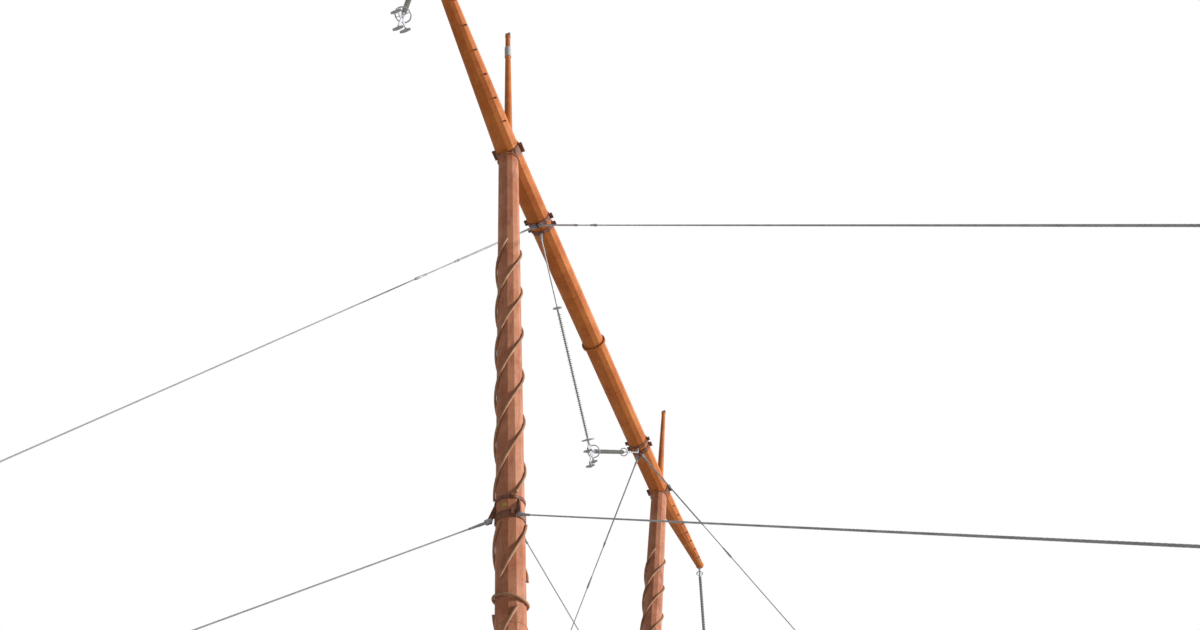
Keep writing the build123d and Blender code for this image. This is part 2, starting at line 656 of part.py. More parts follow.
def v_leg(side):
    start = next_pin(string_top(False, side))
    frame = string_axis(start, v_corner(side))
    length = v_link_length(side)
    metal = hanger(string_top(False, side)) + frame * link(length, SMALL_RING_DIAMETER)
    return metal, frame * Pos(length, 0, 0) * insulator()


def end_fork(frame, place):
    """The fork below an insulator with its corona ring; the pin is at the given place."""
    piece = Pos(place, 0, 0) * Rot(0, 0, 180) * fork(
        STRING_PIN, YOKE_THICKNESS, STRING_FORK_WIDTH, STRING_FORK_REACH, STRING_CHEEK)
    cap_end = place - STRING_FORK_REACH
    ring_x = cap_end - END_CAP_LENGTH / 2
    ring = Pos(ring_x, 0, 0) * Rot(0, 90, 0) * round_ring(LARGE_RING_DIAMETER, RING_SECTION, RING_STEPS)
    start = ring_x - RING_SECTION / 2
    spoke = Pos((start + cap_end + STRING_CHEEK) / 2, 0, 0) * Box(
        cap_end + STRING_CHEEK - start, RING_SECTION / 2, LARGE_RING_DIAMETER)
    cap = Pos(cap_end - END_CAP_LENGTH, 0, 0) * polygon_bar(END_CAP_DIAMETER / 2 + FIT, END_CAP_LENGTH)
    return frame * (piece + (ring + spoke - cap))


def v_end(side):
    """The fork that pins one leg of the V-string to its yoke."""
    start = next_pin(string_top(False, side))
    corner = v_corner(side)
    return end_fork(string_axis(start, corner), (corner - start).length)


def bundle_points(yoke_pin):
    """The three conductor axes: two level with each other and one below them."""
    high = yoke_pin.Z - CLAMP_HANG - YOKE_REACH / 2
    half = BUNDLE_SPACING / 2
    centre_x = yoke_pin.X
    return [Vector(centre_x - half, 0, high), Vector(centre_x + half, 0, high),
            Vector(centre_x, 0, high - BUNDLE_SPACING * sqrt(3) / 2)]


def yoke(yoke_pin, pin_points):
    """The plate that joins the string to the three clamps."""
    plane = Plane(origin=(0, 0, 0), x_dir=(1, 0, 0), z_dir=(0, -1, 0)).location
    points = bundle_points(yoke_pin)
    edge = STRING_FORK_WIDTH / 2
    half = BUNDLE_SPACING / 2 + edge
    top = max(point.Z for point in pin_points) + edge
    wide = max(abs(point.X - yoke_pin.X) for point in pin_points) + edge
    low = points[0].Z + CLAMP_HANG - edge
    outline = Polygon((yoke_pin.X - wide, top), (yoke_pin.X - half, low + edge), (yoke_pin.X - half, low),
                      (yoke_pin.X + half, low), (yoke_pin.X + half, low + edge), (yoke_pin.X + wide, top),
                      align=None)
    bottom = points[2].Z + CLAMP_HANG - edge
    outline += Pos(yoke_pin.X, (low + bottom) / 2) * Rectangle(STRING_FORK_WIDTH, low - bottom + edge)
    for point in pin_points:
        outline -= Pos(point.X, point.Z) * pin_hole(STRING_PIN)
    for point in points:
        outline -= Pos(point.X, point.Z + CLAMP_HANG) * pin_hole(CLAMP_PIN)
    return plane * extrude(outline, YOKE_THICKNESS / 2, both=True)


def clamps(yoke_pin):
    """The suspension clamps, each hung on a pin, with its bore along Y."""
    shapes = []
    for point in bundle_points(yoke_pin):
        body = Box(CLAMP_WIDTH, CLAMP_LENGTH, CLAMP_HEIGHT)
        ends = body.edges().filter_by(Axis.X).group_by(Axis.Z)[0]
        body = chamfer(ends, CLAMP_HEIGHT / 3)
        body = Pos(point.X, point.Y, point.Z) * body
        pin = Plane(origin=(point.X, 0, point.Z + CLAMP_HANG), x_dir=(0, 0, -1), z_dir=(0, 1, 0)).location
        reach = CLAMP_HANG - CLAMP_HEIGHT / 2 + CLAMP_CHEEK / 2
        hang = pin * fork(CLAMP_PIN, YOKE_THICKNESS, CLAMP_FORK_WIDTH, reach, CLAMP_CHEEK)
        bore = Pos(point.X, 0, point.Z) * Rot(90, 0, 0) * Cylinder(CONDUCTOR_DIAMETER / 2, 2 * CLAMP_LENGTH)
        shapes.append(body + hang - bore)
    return shapes


def tip_string(side):
    """The three solids of a suspension string and the point of its yoke pin."""
    top = next_pin(string_top(True, side))
    length = STRING_FORK_REACH + RING_SECTION * 2
    pin = top - Vector(0, 0, length + INSULATOR_LENGTH + STRING_FORK_REACH)
    frame = string_axis(top, pin)
    metal = frame * link(length, SMALL_RING_DIAMETER)
    rod = frame * Pos(length, 0, 0) * insulator()
    plate = yoke(pin, [pin])
    fitting = end_fork(frame, (pin - top).length)
    return metal, rod, [plate, fitting], pin


# Footing
def footing():
    block = Pos(0, 0, FOOTING_HEIGHT / 2) * Box(FOOTING_LENGTH, FOOTING_WIDTH, FOOTING_HEIGHT)
    return chamfer(block.edges().group_by(Axis.Z)[-1], FOOTING_CHAMFER)


def leg_shoe(side):
    """A base plate, a boss in line with the leg, and four ribs."""
    axis = leg_frame(side)
    top = LEG_FOOT_DROP + FIT
    boss = axis * Pos(0, 0, -top - 2 * SHOE_BOSS_LENGTH) * extrude(
        RegularPolygon(SHOE_BOSS_DIAMETER / 2, SIDES, rotation=FLAT_TURN), 2 * SHOE_BOSS_LENGTH)
    foot_x = side * (LEG_X - (ARM_HEIGHT - SHOE_HEIGHT) * tan(LEAN))
    plate = Pos(foot_x, 0, FOOTING_HEIGHT + SHOE_PLATE_THICKNESS / 2) * Box(
        SHOE_PLATE, SHOE_PLATE, SHOE_PLATE_THICKNESS)
    below = Pos(foot_x, 0, 0) * Box(2 * SHOE_PLATE, 2 * SHOE_PLATE, 2 * FOOTING_HEIGHT)
    toe = SHOE_PLATE / 2 - SHOE_RIB_INSET
    boss_side = SHOE_BOSS_DIAMETER / 2
    rib = Polygon((-toe, 0), (toe, 0), (boss_side, SHOE_RIB_HEIGHT), (-boss_side, SHOE_RIB_HEIGHT), align=None)
    shoe = boss + plate
    for turn in (0, 90):
        shoe += upright((foot_x, 0, SHOE_HEIGHT), turn) * extrude(rib, SHOE_RIB_THICKNESS / 2, both=True)
    return shoe - below


def save(name, shapes):
    parts = shapes if isinstance(shapes, list) else [shapes]
    solids = [solid for shape in parts for solid in shape.solids()]
    export_step(Compound(children=solids) if len(solids) > 1 else solids[0], f"parts/{name}.step")


save("footing", footing())
v_pin = Vector(0, 0, ARM_HEIGHT - YOKE_DROP)
for side, name in ((-1, "left"), (1, "right")):
    save(f"{name}_leg_shoe", leg_shoe(side))
    save(f"{name}_leg_lower", leg_lower(side))
    save(f"{name}_leg_upper", leg_upper(side))
    save(f"{name}_leg_strakes", leg_strakes(side))
    save(f"{name}_leg_collar", leg_collar(side))
    save(f"{name}_leg_hoop", leg_hoop(side))
    save(f"{name}_saddle", saddle(side))
    save(f"{name}_inner_arm", inner_arm(side))
    save(f"{name}_outer_arm", outer_arm(side))
    save(f"{name}_arm_band", arm_band(side))
    save(f"{name}_mast", mast(side))
    save(f"{name}_mast_clamp", mast_clamp(side))
    for face, way in ((-1, "front"), (1, "back")):
        save(f"{name}_{way}_upper_guy", guy(side, face, True))
        save(f"{name}_{way}_lower_guy", guy(side, face, False))
        save(f"{name}_{way}_anchor", guy_anchor(side, face))
    v_metal, v_rod = v_leg(side)
    save(f"v_string_{name}_link", v_metal)
    save(f"v_string_{name}_insulator", v_rod)
    tip_metal, tip_rod, tip_yoke, tip_pin = tip_string(side)
    save(f"{name}_hanger", hanger(string_top(True, side)))
    save(f"{name}_string_link", tip_metal)
    save(f"{name}_string_insulator", tip_rod)
    save(f"{name}_string_yoke", tip_yoke)
    save(f"{name}_string_clamps", clamps(tip_pin))
save("leg_tie", leg_tie())
save("v_string_yoke", [yoke(v_pin, [v_corner(-1), v_corner(1)]), v_end(-1), v_end(1)])
save("v_string_clamps", clamps(v_pin))
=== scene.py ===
# %% [markdown]
# # A guyed V transmission tower
#
# The tower is two leaning steel tubes, a crossarm that sweeps up at both ends, eight guys and
# three insulator strings. Its construction comes in as a fixed frame of named nodes. This file
# gives each node its finish, and models again in fine detail what is round, laid or bolted:
# the strakes, the strand of the guys, the insulators, their rings and every bolt.
#
# All lengths are metres, in the frame of the construction: +X along the crossarm, +Y level and
# square to it, +Z up, with the origin under the footing.

# %% Load the frame
import json
import math

import bmesh
import bpy
from mathutils import Matrix, Vector


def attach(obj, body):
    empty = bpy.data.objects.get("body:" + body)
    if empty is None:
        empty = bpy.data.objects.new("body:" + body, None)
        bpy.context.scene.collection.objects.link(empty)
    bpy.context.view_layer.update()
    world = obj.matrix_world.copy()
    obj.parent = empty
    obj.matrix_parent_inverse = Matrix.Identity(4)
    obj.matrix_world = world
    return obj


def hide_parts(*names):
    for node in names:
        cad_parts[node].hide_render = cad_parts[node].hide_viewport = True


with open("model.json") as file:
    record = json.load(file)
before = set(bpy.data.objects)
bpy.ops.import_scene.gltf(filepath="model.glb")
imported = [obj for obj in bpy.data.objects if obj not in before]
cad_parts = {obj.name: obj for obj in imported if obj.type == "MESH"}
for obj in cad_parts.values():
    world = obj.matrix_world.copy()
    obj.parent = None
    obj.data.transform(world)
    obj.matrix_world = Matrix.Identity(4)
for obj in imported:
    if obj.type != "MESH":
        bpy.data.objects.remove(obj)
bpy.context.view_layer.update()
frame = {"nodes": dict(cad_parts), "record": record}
nodes = frame["nodes"]
SIDES = ((-1, "left"), (1, "right"))
FACES = ((-1, "front"), (1, "back"))
print("nodes in the frame:", len(nodes))

# %% [markdown]
# ## The sizes that the new pieces share
#
# A new piece has to sit where the frame's own piece sits, so the layout is written once more
# here, in metres, and everything else is worked out from it. Points that the record already
# knows, such as the pins of the strings, are read from the frame instead. A place is a matrix,
# and two helpers make the plain ones, which are then multiplied together.

# %% Layout of the tower
ARM_HEIGHT = 29.3
ARM_RADIUS, ARM_TIP_RADIUS = 0.335, 0.15
ARM_KINK_X = 7.43
ARM_TIP = Vector((12.85, 0, ARM_HEIGHT + 0.99))
LEG_X = 7.2
LEAN = math.radians(11.4)
SHOE_TOP, SHOE_BOSS = 0.39, 0.19
LEG_TOP_DROP = 0.45
LEG_FOOT_DROP = (ARM_HEIGHT - SHOE_TOP) / math.cos(LEAN) - SHOE_BOSS
LEG_MIDDLE_DROP = (LEG_TOP_DROP + LEG_FOOT_DROP) / 2
LEG_END_RADIUS, LEG_MIDDLE_RADIUS = 0.28, 0.33
TUBE_SIDES = 12
FLAT = math.cos(math.pi / TUBE_SIDES)
SEAT = 0.0003


def moved(x=0.0, y=0.0, z=0.0):
    """A place that is only moved."""
    return Matrix.Translation((x, y, z))


def turned(angle, axis):
    """A place that is only turned."""
    return Matrix.Rotation(angle, 4, axis)


def leg_place(side):
    """A leg's own frame: origin on the crossarm's axis, Z up along the leg."""
    return moved(side * LEG_X, 0, ARM_HEIGHT) @ turned(side * LEAN, "Y")


def leg_radius(drop):
    """Corner radius of a leg at a distance down its axis from the crossarm."""
    share = abs(drop - LEG_MIDDLE_DROP) / (LEG_MIDDLE_DROP - LEG_TOP_DROP)
    return LEG_MIDDLE_RADIUS + share * (LEG_END_RADIUS - LEG_MIDDLE_RADIUS)


print("leg middle is", round(LEG_MIDDLE_DROP, 3), "m down from the crossarm")

# %% [markdown]
# ## The camera
#
# The eye is near the left leg, and looks up and along the crossarm. A camera is three things
# here: where the eye is, where it looks, and how long its lens is. They were found by fitting
# the tower's edges, and a little upward shift keeps the legs from closing in as much as a
# plain tilted camera would make them.

# %% Set up the camera
PICTURE_WIDTH = 1200
EYE = Vector((-20.275, -7.695, 1.274))
YAW, PITCH, ROLL = 0.3507, 0.8278, 0.0182
LENS_PIXELS = 1087.1
SHIFT_PIXELS = 120
SENSOR_WIDTH = 36
FARTHEST = 400


def add_object(name, data):
    """Puts an object with this data into the scene, at the origin."""
    made = bpy.data.objects.new(name, data)
    bpy.context.scene.collection.objects.link(made)
    return made


look = Vector((math.cos(PITCH) * math.cos(YAW), math.cos(PITCH) * math.sin(YAW),
               math.sin(PITCH)))
level = Vector((math.sin(YAW), -math.cos(YAW), 0))
above = level.cross(look)
across = level * math.cos(ROLL) + above * math.sin(ROLL)
upward = above * math.cos(ROLL) - level * math.sin(ROLL)
camera_data = bpy.data.cameras.new("camera")
camera_data.sensor_width = SENSOR_WIDTH
camera_data.lens = SENSOR_WIDTH * LENS_PIXELS / PICTURE_WIDTH
camera_data.shift_y = SHIFT_PIXELS / PICTURE_WIDTH
camera_data.clip_end = FARTHEST
camera = add_object("camera", camera_data)
axes = Matrix((across, upward, -look)).transposed().to_4x4()
camera.matrix_world = Matrix.Translation(EYE) @ axes
bpy.context.scene.camera = camera
print("lens", round(camera_data.lens, 2), "mm, shift", camera_data.shift_y)

# %% [markdown]
# ## Small tools for shader nodes
#
# Every finish on the tower is a mix of the same few effects, so each effect becomes a node
# group with named sockets. One helper places a node and fills its sockets, one starts a group
# and one ends it. All groups give the same three results: a colour, a roughness and a height.


# %% Shader helpers
def place_node(tree, kind, values=None, **settings):
    """Adds a shader node. A value that is a socket becomes a link."""
    made = tree.nodes.new("ShaderNode" + kind)
    for name, value in settings.items():
        setattr(made, name, value)
    for name, value in (values or {}).items():
        if isinstance(value, bpy.types.NodeSocket):
            tree.links.new(value, made.inputs[name])
        else:
            made.inputs[name].default_value = value
    return made


def blend_colour(tree, factor, first, second, blend_type="MIX"):
    """Mixes two colours and gives the result's socket."""
    return place_node(tree, "Mix", {0: factor, 6: first, 7: second}, data_type="RGBA",
                      blend_type=blend_type).outputs[2]


def spread_noise(tree, where, scale, detail, roughness, low, high):
    """A noise whose values from low to high are spread from 0 to 1."""
    noise = place_node(tree, "TexNoise", {"Vector": where, "Scale": scale, "Detail": detail,
                                          "Roughness": roughness})
    return place_node(tree, "MapRange", {"Value": noise.outputs[0], "From Min": low,
                                         "From Max": high}).outputs[0]


# %% Group helpers
RESULTS = (("Colour", "Color"), ("Roughness", "Float"), ("Height", "Float"))


def start_group(name, inputs):
    """A node group from (label, kind, default) inputs: its tree, inputs and coordinates."""
    tree = bpy.data.node_groups.new(name, "ShaderNodeTree")
    for label, kind, value in inputs:
        socket = tree.interface.new_socket(label, in_out="INPUT",
                                           socket_type="NodeSocket" + kind)
        socket.default_value = value
    for label, kind in RESULTS:
        tree.interface.new_socket(label, in_out="OUTPUT", socket_type="NodeSocket" + kind)
    where = place_node(tree, "TexCoord").outputs["Object"]
    return tree, tree.nodes.new("NodeGroupInput").outputs, where


def end_group(tree, *sockets):
    """Links the colour, the roughness and the height to the group's output."""
    give = tree.nodes.new("NodeGroupOutput").inputs
    for (label, _), socket in zip(RESULTS, sockets):
        tree.links.new(socket, give[label])
    print(tree.name, "group has", len(tree.nodes), "nodes")


# %% [markdown]
# ## Light and background
#
# A tower of many flat facets reads best when each facet has its own tone. One large soft lamp
# from the right does that, and an even pale sky fills the shade. The background is white to
# the camera and in reflections only, so that it doesn't pour extra light on the steel.

# %% Sky
SKY = 0.15
world = bpy.data.worlds.new("sky")
world.use_nodes = True
bpy.context.scene.world = world
tree = world.node_tree
tree.nodes.clear()
rays = place_node(tree, "LightPath").outputs
direct = place_node(tree, "Math", {0: rays["Is Camera Ray"], 1: rays["Is Glossy Ray"]},
                    operation="MAXIMUM")
seen = place_node(tree, "Math", {0: direct.outputs[0], 1: rays["Is Transmission Ray"]},
                  operation="MAXIMUM")
strength = place_node(tree, "MapRange", {"Value": seen.outputs[0], "To Min": SKY,
                                         "To Max": 1.0})
background = place_node(tree, "Background", {"Color": (1, 1, 1, 1),
                                             "Strength": strength.outputs["Result"]})
place_node(tree, "OutputWorld", {"Surface": background.outputs["Background"]})
print("sky strength", SKY)

# %% Lamp
SUN_STRENGTH, SUN_ANGLE = 4.2, math.radians(5)
SUN_FROM = Vector((0.2, -0.92, 0.34))
sun_data = bpy.data.lights.new("soft_sun", "SUN")
sun_data.energy = SUN_STRENGTH
sun_data.angle = SUN_ANGLE
sun = add_object("soft_sun", sun_data)
sun.matrix_world = SUN_FROM.to_track_quat("Z", "Y").to_matrix().to_4x4()
bpy.context.scene.view_settings.view_transform = "Standard"
print("sun strength", SUN_STRENGTH)

# %% [markdown]
# ## Rust that protects
#
# Weathering steel grows a dense brown patina. Close up it is a fine grain, further off it is
# blotches of lighter and darker brown, and rain draws darker runs down it. Three noises of
# different stretch give those three scales. They read Object coordinates, so the pattern
# stays on the steel from every side.

# %% The patina group
patina, take, where = start_group(
    "patina",
    [("Light", "Color", (0.5, 0.2, 0.1, 1)), ("Dark", "Color", (0.2, 0.07, 0.04, 1)),
     ("Run", "Color", (0.12, 0.04, 0.03, 1)), ("Blotch Size", "Float", 2.0),
     ("Run Amount", "Float", 0.4), ("Grain Size", "Float", 40.0)])
blotch = spread_noise(patina, where, take["Blotch Size"], 5.0, 0.62, 0.32, 0.68)
stretched = place_node(patina, "Mapping", {"Vector": where, "Scale": (7.0, 7.0, 0.45)})
runs = spread_noise(patina, stretched.outputs[0], 1.6, 4.0, 0.55, 0.52, 0.74)
run_mask = place_node(patina, "Math", {0: runs, 1: take["Run Amount"]}, operation="MULTIPLY")
grain = place_node(patina, "TexNoise", {"Vector": where, "Scale": take["Grain Size"],
                                        "Detail": 6.0, "Roughness": 0.7}).outputs[0]
grey = place_node(patina, "MapRange", {"Value": grain, "From Min": 0.3, "From Max": 0.7,
                                       "To Min": 0.78, "To Max": 1.16}).outputs[0]
tone = place_node(patina, "CombineColor", {"Red": grey, "Green": grey, "Blue": grey})
colour = blend_colour(patina, blotch, take["Dark"], take["Light"])
colour = blend_colour(patina, run_mask.outputs[0], colour, take["Run"])
colour = blend_colour(patina, 1.0, colour, tone.outputs[0], "MULTIPLY")
rough = place_node(patina, "MapRange", {"Value": blotch, "To Min": 0.86, "To Max": 0.66})
end_group(patina, colour, rough.outputs[0], grain)

# %% [markdown]
# ## Zinc
#
# Hot-dip galvanising freezes into flat crystals, each with its own grey. A Voronoi texture
# gives one random value to each cell, which is just what a spangle is. Cloudy noise on top
# of it is the dull white that zinc grows with age.

# %% The spangle group
spangle, take, where = start_group(
    "spangle",
    [("Bright", "Color", (0.78, 0.79, 0.8, 1)), ("Dull", "Color", (0.5, 0.51, 0.53, 1)),
     ("Crystal Size", "Float", 60.0), ("Cloud Size", "Float", 6.0)])
cells = place_node(spangle, "TexVoronoi", {"Vector": where, "Scale": take["Crystal Size"]})
value = place_node(spangle, "SeparateColor", {"Color": cells.outputs["Color"]})
cloud = spread_noise(spangle, where, take["Cloud Size"], 4.0, 0.5, 0.3, 0.7)
share = place_node(spangle, "Math", {0: value.outputs[0], 1: cloud}, operation="MULTIPLY")
colour = blend_colour(spangle, share.outputs[0], take["Bright"], take["Dull"])
rough = place_node(spangle, "MapRange", {"Value": cloud, "To Min": 0.38, "To Max": 0.6})
end_group(spangle, colour, rough.outputs[0], cells.outputs["Distance"])

# %% [markdown]
# ## Silicone, paint and concrete
#
# The sheds of a long rod insulator are grey silicone that dulls with dust, so its colour is
# nearly even, and so is old paint. Concrete is pale with darker pores, a low cloudy variation
# and a rough face. One group with a cloud and fine pits does for all three.

# %% The mineral group
mineral, take, where = start_group(
    "mineral",
    [("Light", "Color", (0.6, 0.58, 0.54, 1)), ("Dark", "Color", (0.4, 0.38, 0.35, 1)),
     ("Cloud Size", "Float", 2.5), ("Pore Size", "Float", 60.0)])
cloud = spread_noise(mineral, where, take["Cloud Size"], 6.0, 0.6, 0.3, 0.7)
pits = spread_noise(mineral, where, take["Pore Size"], 3.0, 0.5, 0.36, 0.46)
colour = blend_colour(mineral, cloud, take["Dark"], take["Light"])
colour = blend_colour(mineral, pits, take["Dark"], colour)
rough = place_node(mineral, "MapRange", {"Value": cloud, "To Min": 0.62, "To Max": 0.9})
end_group(mineral, colour, rough.outputs[0], pits)

# %% [markdown]
# ## From a group to a material
#
# The shader itself stays in the material. A group feeds its colour and roughness, and its
# height goes through a Bump node, whose distance says how deep the grain is in metres.


# %% Material helper
def finish_material(name, group, values, depth, strength=0.5, metallic=0.0):
    """A material whose colour, roughness and grain come from one of the groups."""
    made = bpy.data.materials.new(name)
    made.use_nodes = True
    tree = made.node_tree
    shader = tree.nodes["Principled BSDF"]
    effect = place_node(tree, "Group", node_tree=group)
    for label, value in values.items():
        effect.inputs[label].default_value = value
    bump = place_node(tree, "Bump", {"Height": effect.outputs["Height"], "Distance": depth,
                                     "Strength": strength})
    tree.links.new(effect.outputs["Colour"], shader.inputs["Base Color"])
    tree.links.new(effect.outputs["Roughness"], shader.inputs["Roughness"])
    tree.links.new(bump.outputs["Normal"], shader.inputs["Normal"])
    shader.inputs["Metallic"].default_value = metallic
    print("material", name, "uses the group", group.name)
    return made


# %% Rusted steel
leg_steel = finish_material(
    "leg_steel", patina,
    {"Light": (0.57, 0.235, 0.125, 1), "Dark": (0.42, 0.14, 0.065, 1),
     "Run": (0.24, 0.078, 0.036, 1), "Blotch Size": 1.7, "Run Amount": 0.6,
     "Grain Size": 34.0}, 0.004)
arm_steel = finish_material(
    "arm_steel", patina,
    {"Light": (0.64, 0.19, 0.025, 1), "Dark": (0.46, 0.11, 0.016, 1),
     "Run": (0.24, 0.058, 0.012, 1), "Blotch Size": 1.5, "Run Amount": 0.35,
     "Grain Size": 34.0}, 0.004)
fitting_steel = finish_material(
    "fitting_steel", patina,
    {"Light": (0.3, 0.12, 0.065, 1), "Dark": (0.15, 0.055, 0.032, 1),
     "Run": (0.07, 0.028, 0.018, 1), "Blotch Size": 5.0, "Run Amount": 0.4,
     "Grain Size": 70.0}, 0.003)
strake_finish = finish_material(
    "strake_finish", patina,
    {"Light": (0.52, 0.3, 0.17, 1), "Dark": (0.34, 0.155, 0.08, 1),
     "Run": (0.18, 0.07, 0.035, 1), "Blotch Size": 3.2, "Run Amount": 0.3,
     "Grain Size": 90.0}, 0.002)

# %% Zinc, silicone and concrete
zinc = finish_material(
    "zinc", spangle,
    {"Bright": (0.36, 0.37, 0.38, 1), "Dull": (0.2, 0.21, 0.22, 1), "Crystal Size": 55.0,
     "Cloud Size": 4.0}, 0.0006, 0.3, 0.15)
bright_zinc = finish_material(
    "bright_zinc", spangle,
    {"Bright": (0.5, 0.51, 0.53, 1), "Dull": (0.32, 0.33, 0.35, 1), "Crystal Size": 90.0,
     "Cloud Size": 9.0}, 0.0004, 0.3, 0.2)
silicone = finish_material(
    "silicone", mineral,
    {"Light": (0.46, 0.46, 0.43, 1), "Dark": (0.34, 0.34, 0.32, 1), "Cloud Size": 5.0,
     "Pore Size": 160.0}, 0.0003, 0.2)
concrete = finish_material(
    "concrete", mineral,
    {"Light": (0.62, 0.6, 0.56, 1), "Dark": (0.44, 0.42, 0.39, 1), "Cloud Size": 2.2,
     "Pore Size": 45.0}, 0.003)

# %% [markdown]
# ## Finishes for the frame's own nodes
#
# Most nodes keep their shape and only need a finish. The record names a slot for each node,
# so one table from slot to material covers them all. The crossarm and the masts then get a
# warmer brown than the legs, because they are out in the sun all day.

# %% Give the nodes their finishes
FINISHES = {"weathering_steel": leg_steel, "strake": strake_finish,
            "dark_fittings": fitting_steel, "galvanised_steel": zinc,
            "string_steel": bright_zinc, "insulator": silicone, "concrete": concrete}
for part in frame["record"]["subparts"]:
    finish = FINISHES[part["material_slot"]]
    if finish is leg_steel and ("_arm" in part["node"] or "_mast" in part["node"]):
        finish = arm_steel
    mesh = nodes[part["node"]].data
    mesh.materials.clear()
    mesh.materials.append(finish)

# %% [markdown]
# ## Tools for new pieces
#
# A new piece is gathered from small shapes. Each small shape is made about its own origin,
# with its length along local X, and is cleaned: doubles merged, normals turned outwards. It
# is then put in its place and added to the whole. The finished object stays at the origin.

# %% Places
X, Y, Z = Vector((1, 0, 0)), Vector((0, 1, 0)), Vector((0, 0, 1))
FLIP = turned(math.pi, "Z")


def axes_place(origin, along, across):
    """A place whose X runs along a direction and whose Z is the given cross direction."""
    x_axis, z_axis = along.normalized(), across.normalized()
    axes = Matrix((x_axis, z_axis.cross(x_axis), z_axis)).transposed().to_4x4()
    return Matrix.Translation(origin) @ axes


def line_place(start, end):
    """A place on a line: X along it, Z level across it."""
    run = (end - start).normalized()
    return axes_place(start, run, Vector((run.y, -run.x, 0)))


# %% Gather and make a piece
def gather(whole, part, place=None):
    """Cleans a small bmesh and adds it to a larger one at its place."""
    bmesh.ops.remove_doubles(part, verts=part.verts, dist=1e-5)
    bmesh.ops.recalc_face_normals(part, faces=part.faces)
    part.transform(place or Matrix.Identity(4))
    mesh = bpy.data.meshes.new("small_shape")
    part.to_mesh(mesh)
    part.free()
    whole.from_mesh(mesh)
    bpy.data.meshes.remove(mesh)


def make_piece(whole, name, body, slot, stands_for=(), finish=None, smooth_angle=35):
    """Makes a bmesh a piece that rides on its body, and may stand for nodes of the frame.

    It wears its slot's finish, unless another is given.
    """
    mesh = bpy.data.meshes.new(name)
    whole.to_mesh(mesh)
    whole.free()
    mesh.shade_smooth()
    mesh.set_sharp_from_angle(angle=math.radians(smooth_angle))
    mesh.materials.append(finish or FINISHES[slot])
    piece = add_object(name, mesh)
    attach(piece, body)
    if stands_for:
        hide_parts(*stands_for)
    print(name, "has", len(mesh.polygons), "faces")


# %% Round shapes
def spin(part, steps, angle=2 * math.pi, axis=X, climb=0.0):
    """Spins all of a bmesh. With a climb at each step it is a screw, and stays open."""
    bmesh.ops.spin(part, geom=[*part.verts, *part.edges], cent=(0, 0, 0), axis=axis,
                   dvec=axis * climb, angle=angle, steps=steps, use_merge=not climb,
                   use_duplicate=False)


def lathe(outline, steps, closed=False):
    """(along, radius) points turned about X: closed ones make a ring, others touch the axis."""
    part = bmesh.new()
    points = [part.verts.new((along, radius, 0)) for along, radius in outline]
    for pair in zip(points, points[1:] + points[:1] if closed else points[1:]):
        part.edges.new(pair)
    spin(part, steps)
    return part


def bar(length, radius, start=0.0, steps=16):
    """A round bar along X."""
    end = start + length
    return lathe([(start, 0), (start, radius), (end, radius), (end, 0)], steps)


def round_ring(radius, section, turns=40, sides=10):
    """A ring of round bar whose axis is X."""
    part = bmesh.new()
    bmesh.ops.create_circle(part, segments=sides, radius=section / 2)
    part.transform(moved(y=radius))
    spin(part, turns)
    return part


# %% [markdown]
# ## The helical strakes
#
# Three bars wind round each leg like the stripes of a barber's pole, and break up the wind so
# that the tube doesn't hum. A screw is a spin with a step along its axis: the bar's round
# section is spun about the leg and moved down a little at each step. The leg is thicker at
# its middle, so the screw is then pushed in or out until it lies on the tube all the way.

# %% Strakes
STRAKE_RADIUS, STRAKE_SIDES = 0.029, 10
STRAKE_TOP_DROP, STRAKE_TOP_ANGLE = 3.886, 315
STRAKE_PITCH = 4.12
STRAKE_STARTS = 3
STRAKE_STRETCHES = ((0, 23), (25, 29), (31, 65))
STEP_ANGLE = 2 * math.pi / TUBE_SIDES
STEP_DROP = STRAKE_PITCH / TUBE_SIDES
FINE_STEPS = 3


def strake(first, last, start):
    """One strake in its leg's frame, from one numbered step to another."""
    part = bmesh.new()
    reach = leg_radius(0) + STRAKE_RADIUS
    tilt = -math.atan2(2 * math.pi * reach, STRAKE_PITCH)
    angle = math.radians(STRAKE_TOP_ANGLE + start * 360 / STRAKE_STARTS) - first * STEP_ANGLE
    bmesh.ops.create_circle(part, segments=STRAKE_SIDES, radius=STRAKE_RADIUS)
    part.transform(moved(z=-STRAKE_TOP_DROP - first * STEP_DROP) @ turned(angle, "Z")
                   @ moved(reach) @ turned(tilt, "X"))
    count = last - first
    spin(part, count * FINE_STEPS, -count * STEP_ANGLE, Z, -STEP_DROP / FINE_STEPS)
    bmesh.ops.holes_fill(part, edges=part.edges, sides=0)
    for vert in part.verts:
        distance = math.hypot(vert.co.x, vert.co.y)
        share = (distance + leg_radius(-vert.co.z) - leg_radius(0)) / distance
        vert.co.x *= share
        vert.co.y *= share
    return part


for side, name in SIDES:
    whole = bmesh.new()
    for first, last in STRAKE_STRETCHES:
        for start in range(STRAKE_STARTS):
            gather(whole, strake(first, last, start), leg_place(side))
    make_piece(whole, f"{name}_round_strakes", "tower", "strake",
               [f"{name}_leg_strakes"], smooth_angle=60)

# %% [markdown]
# ## The hoop below the collar
#
# A round hoop rests on each leg and hangs a little lower on one side. The frame's own hoop is
# bent from short straight lengths. This one is a true ring of the same size and tilt.

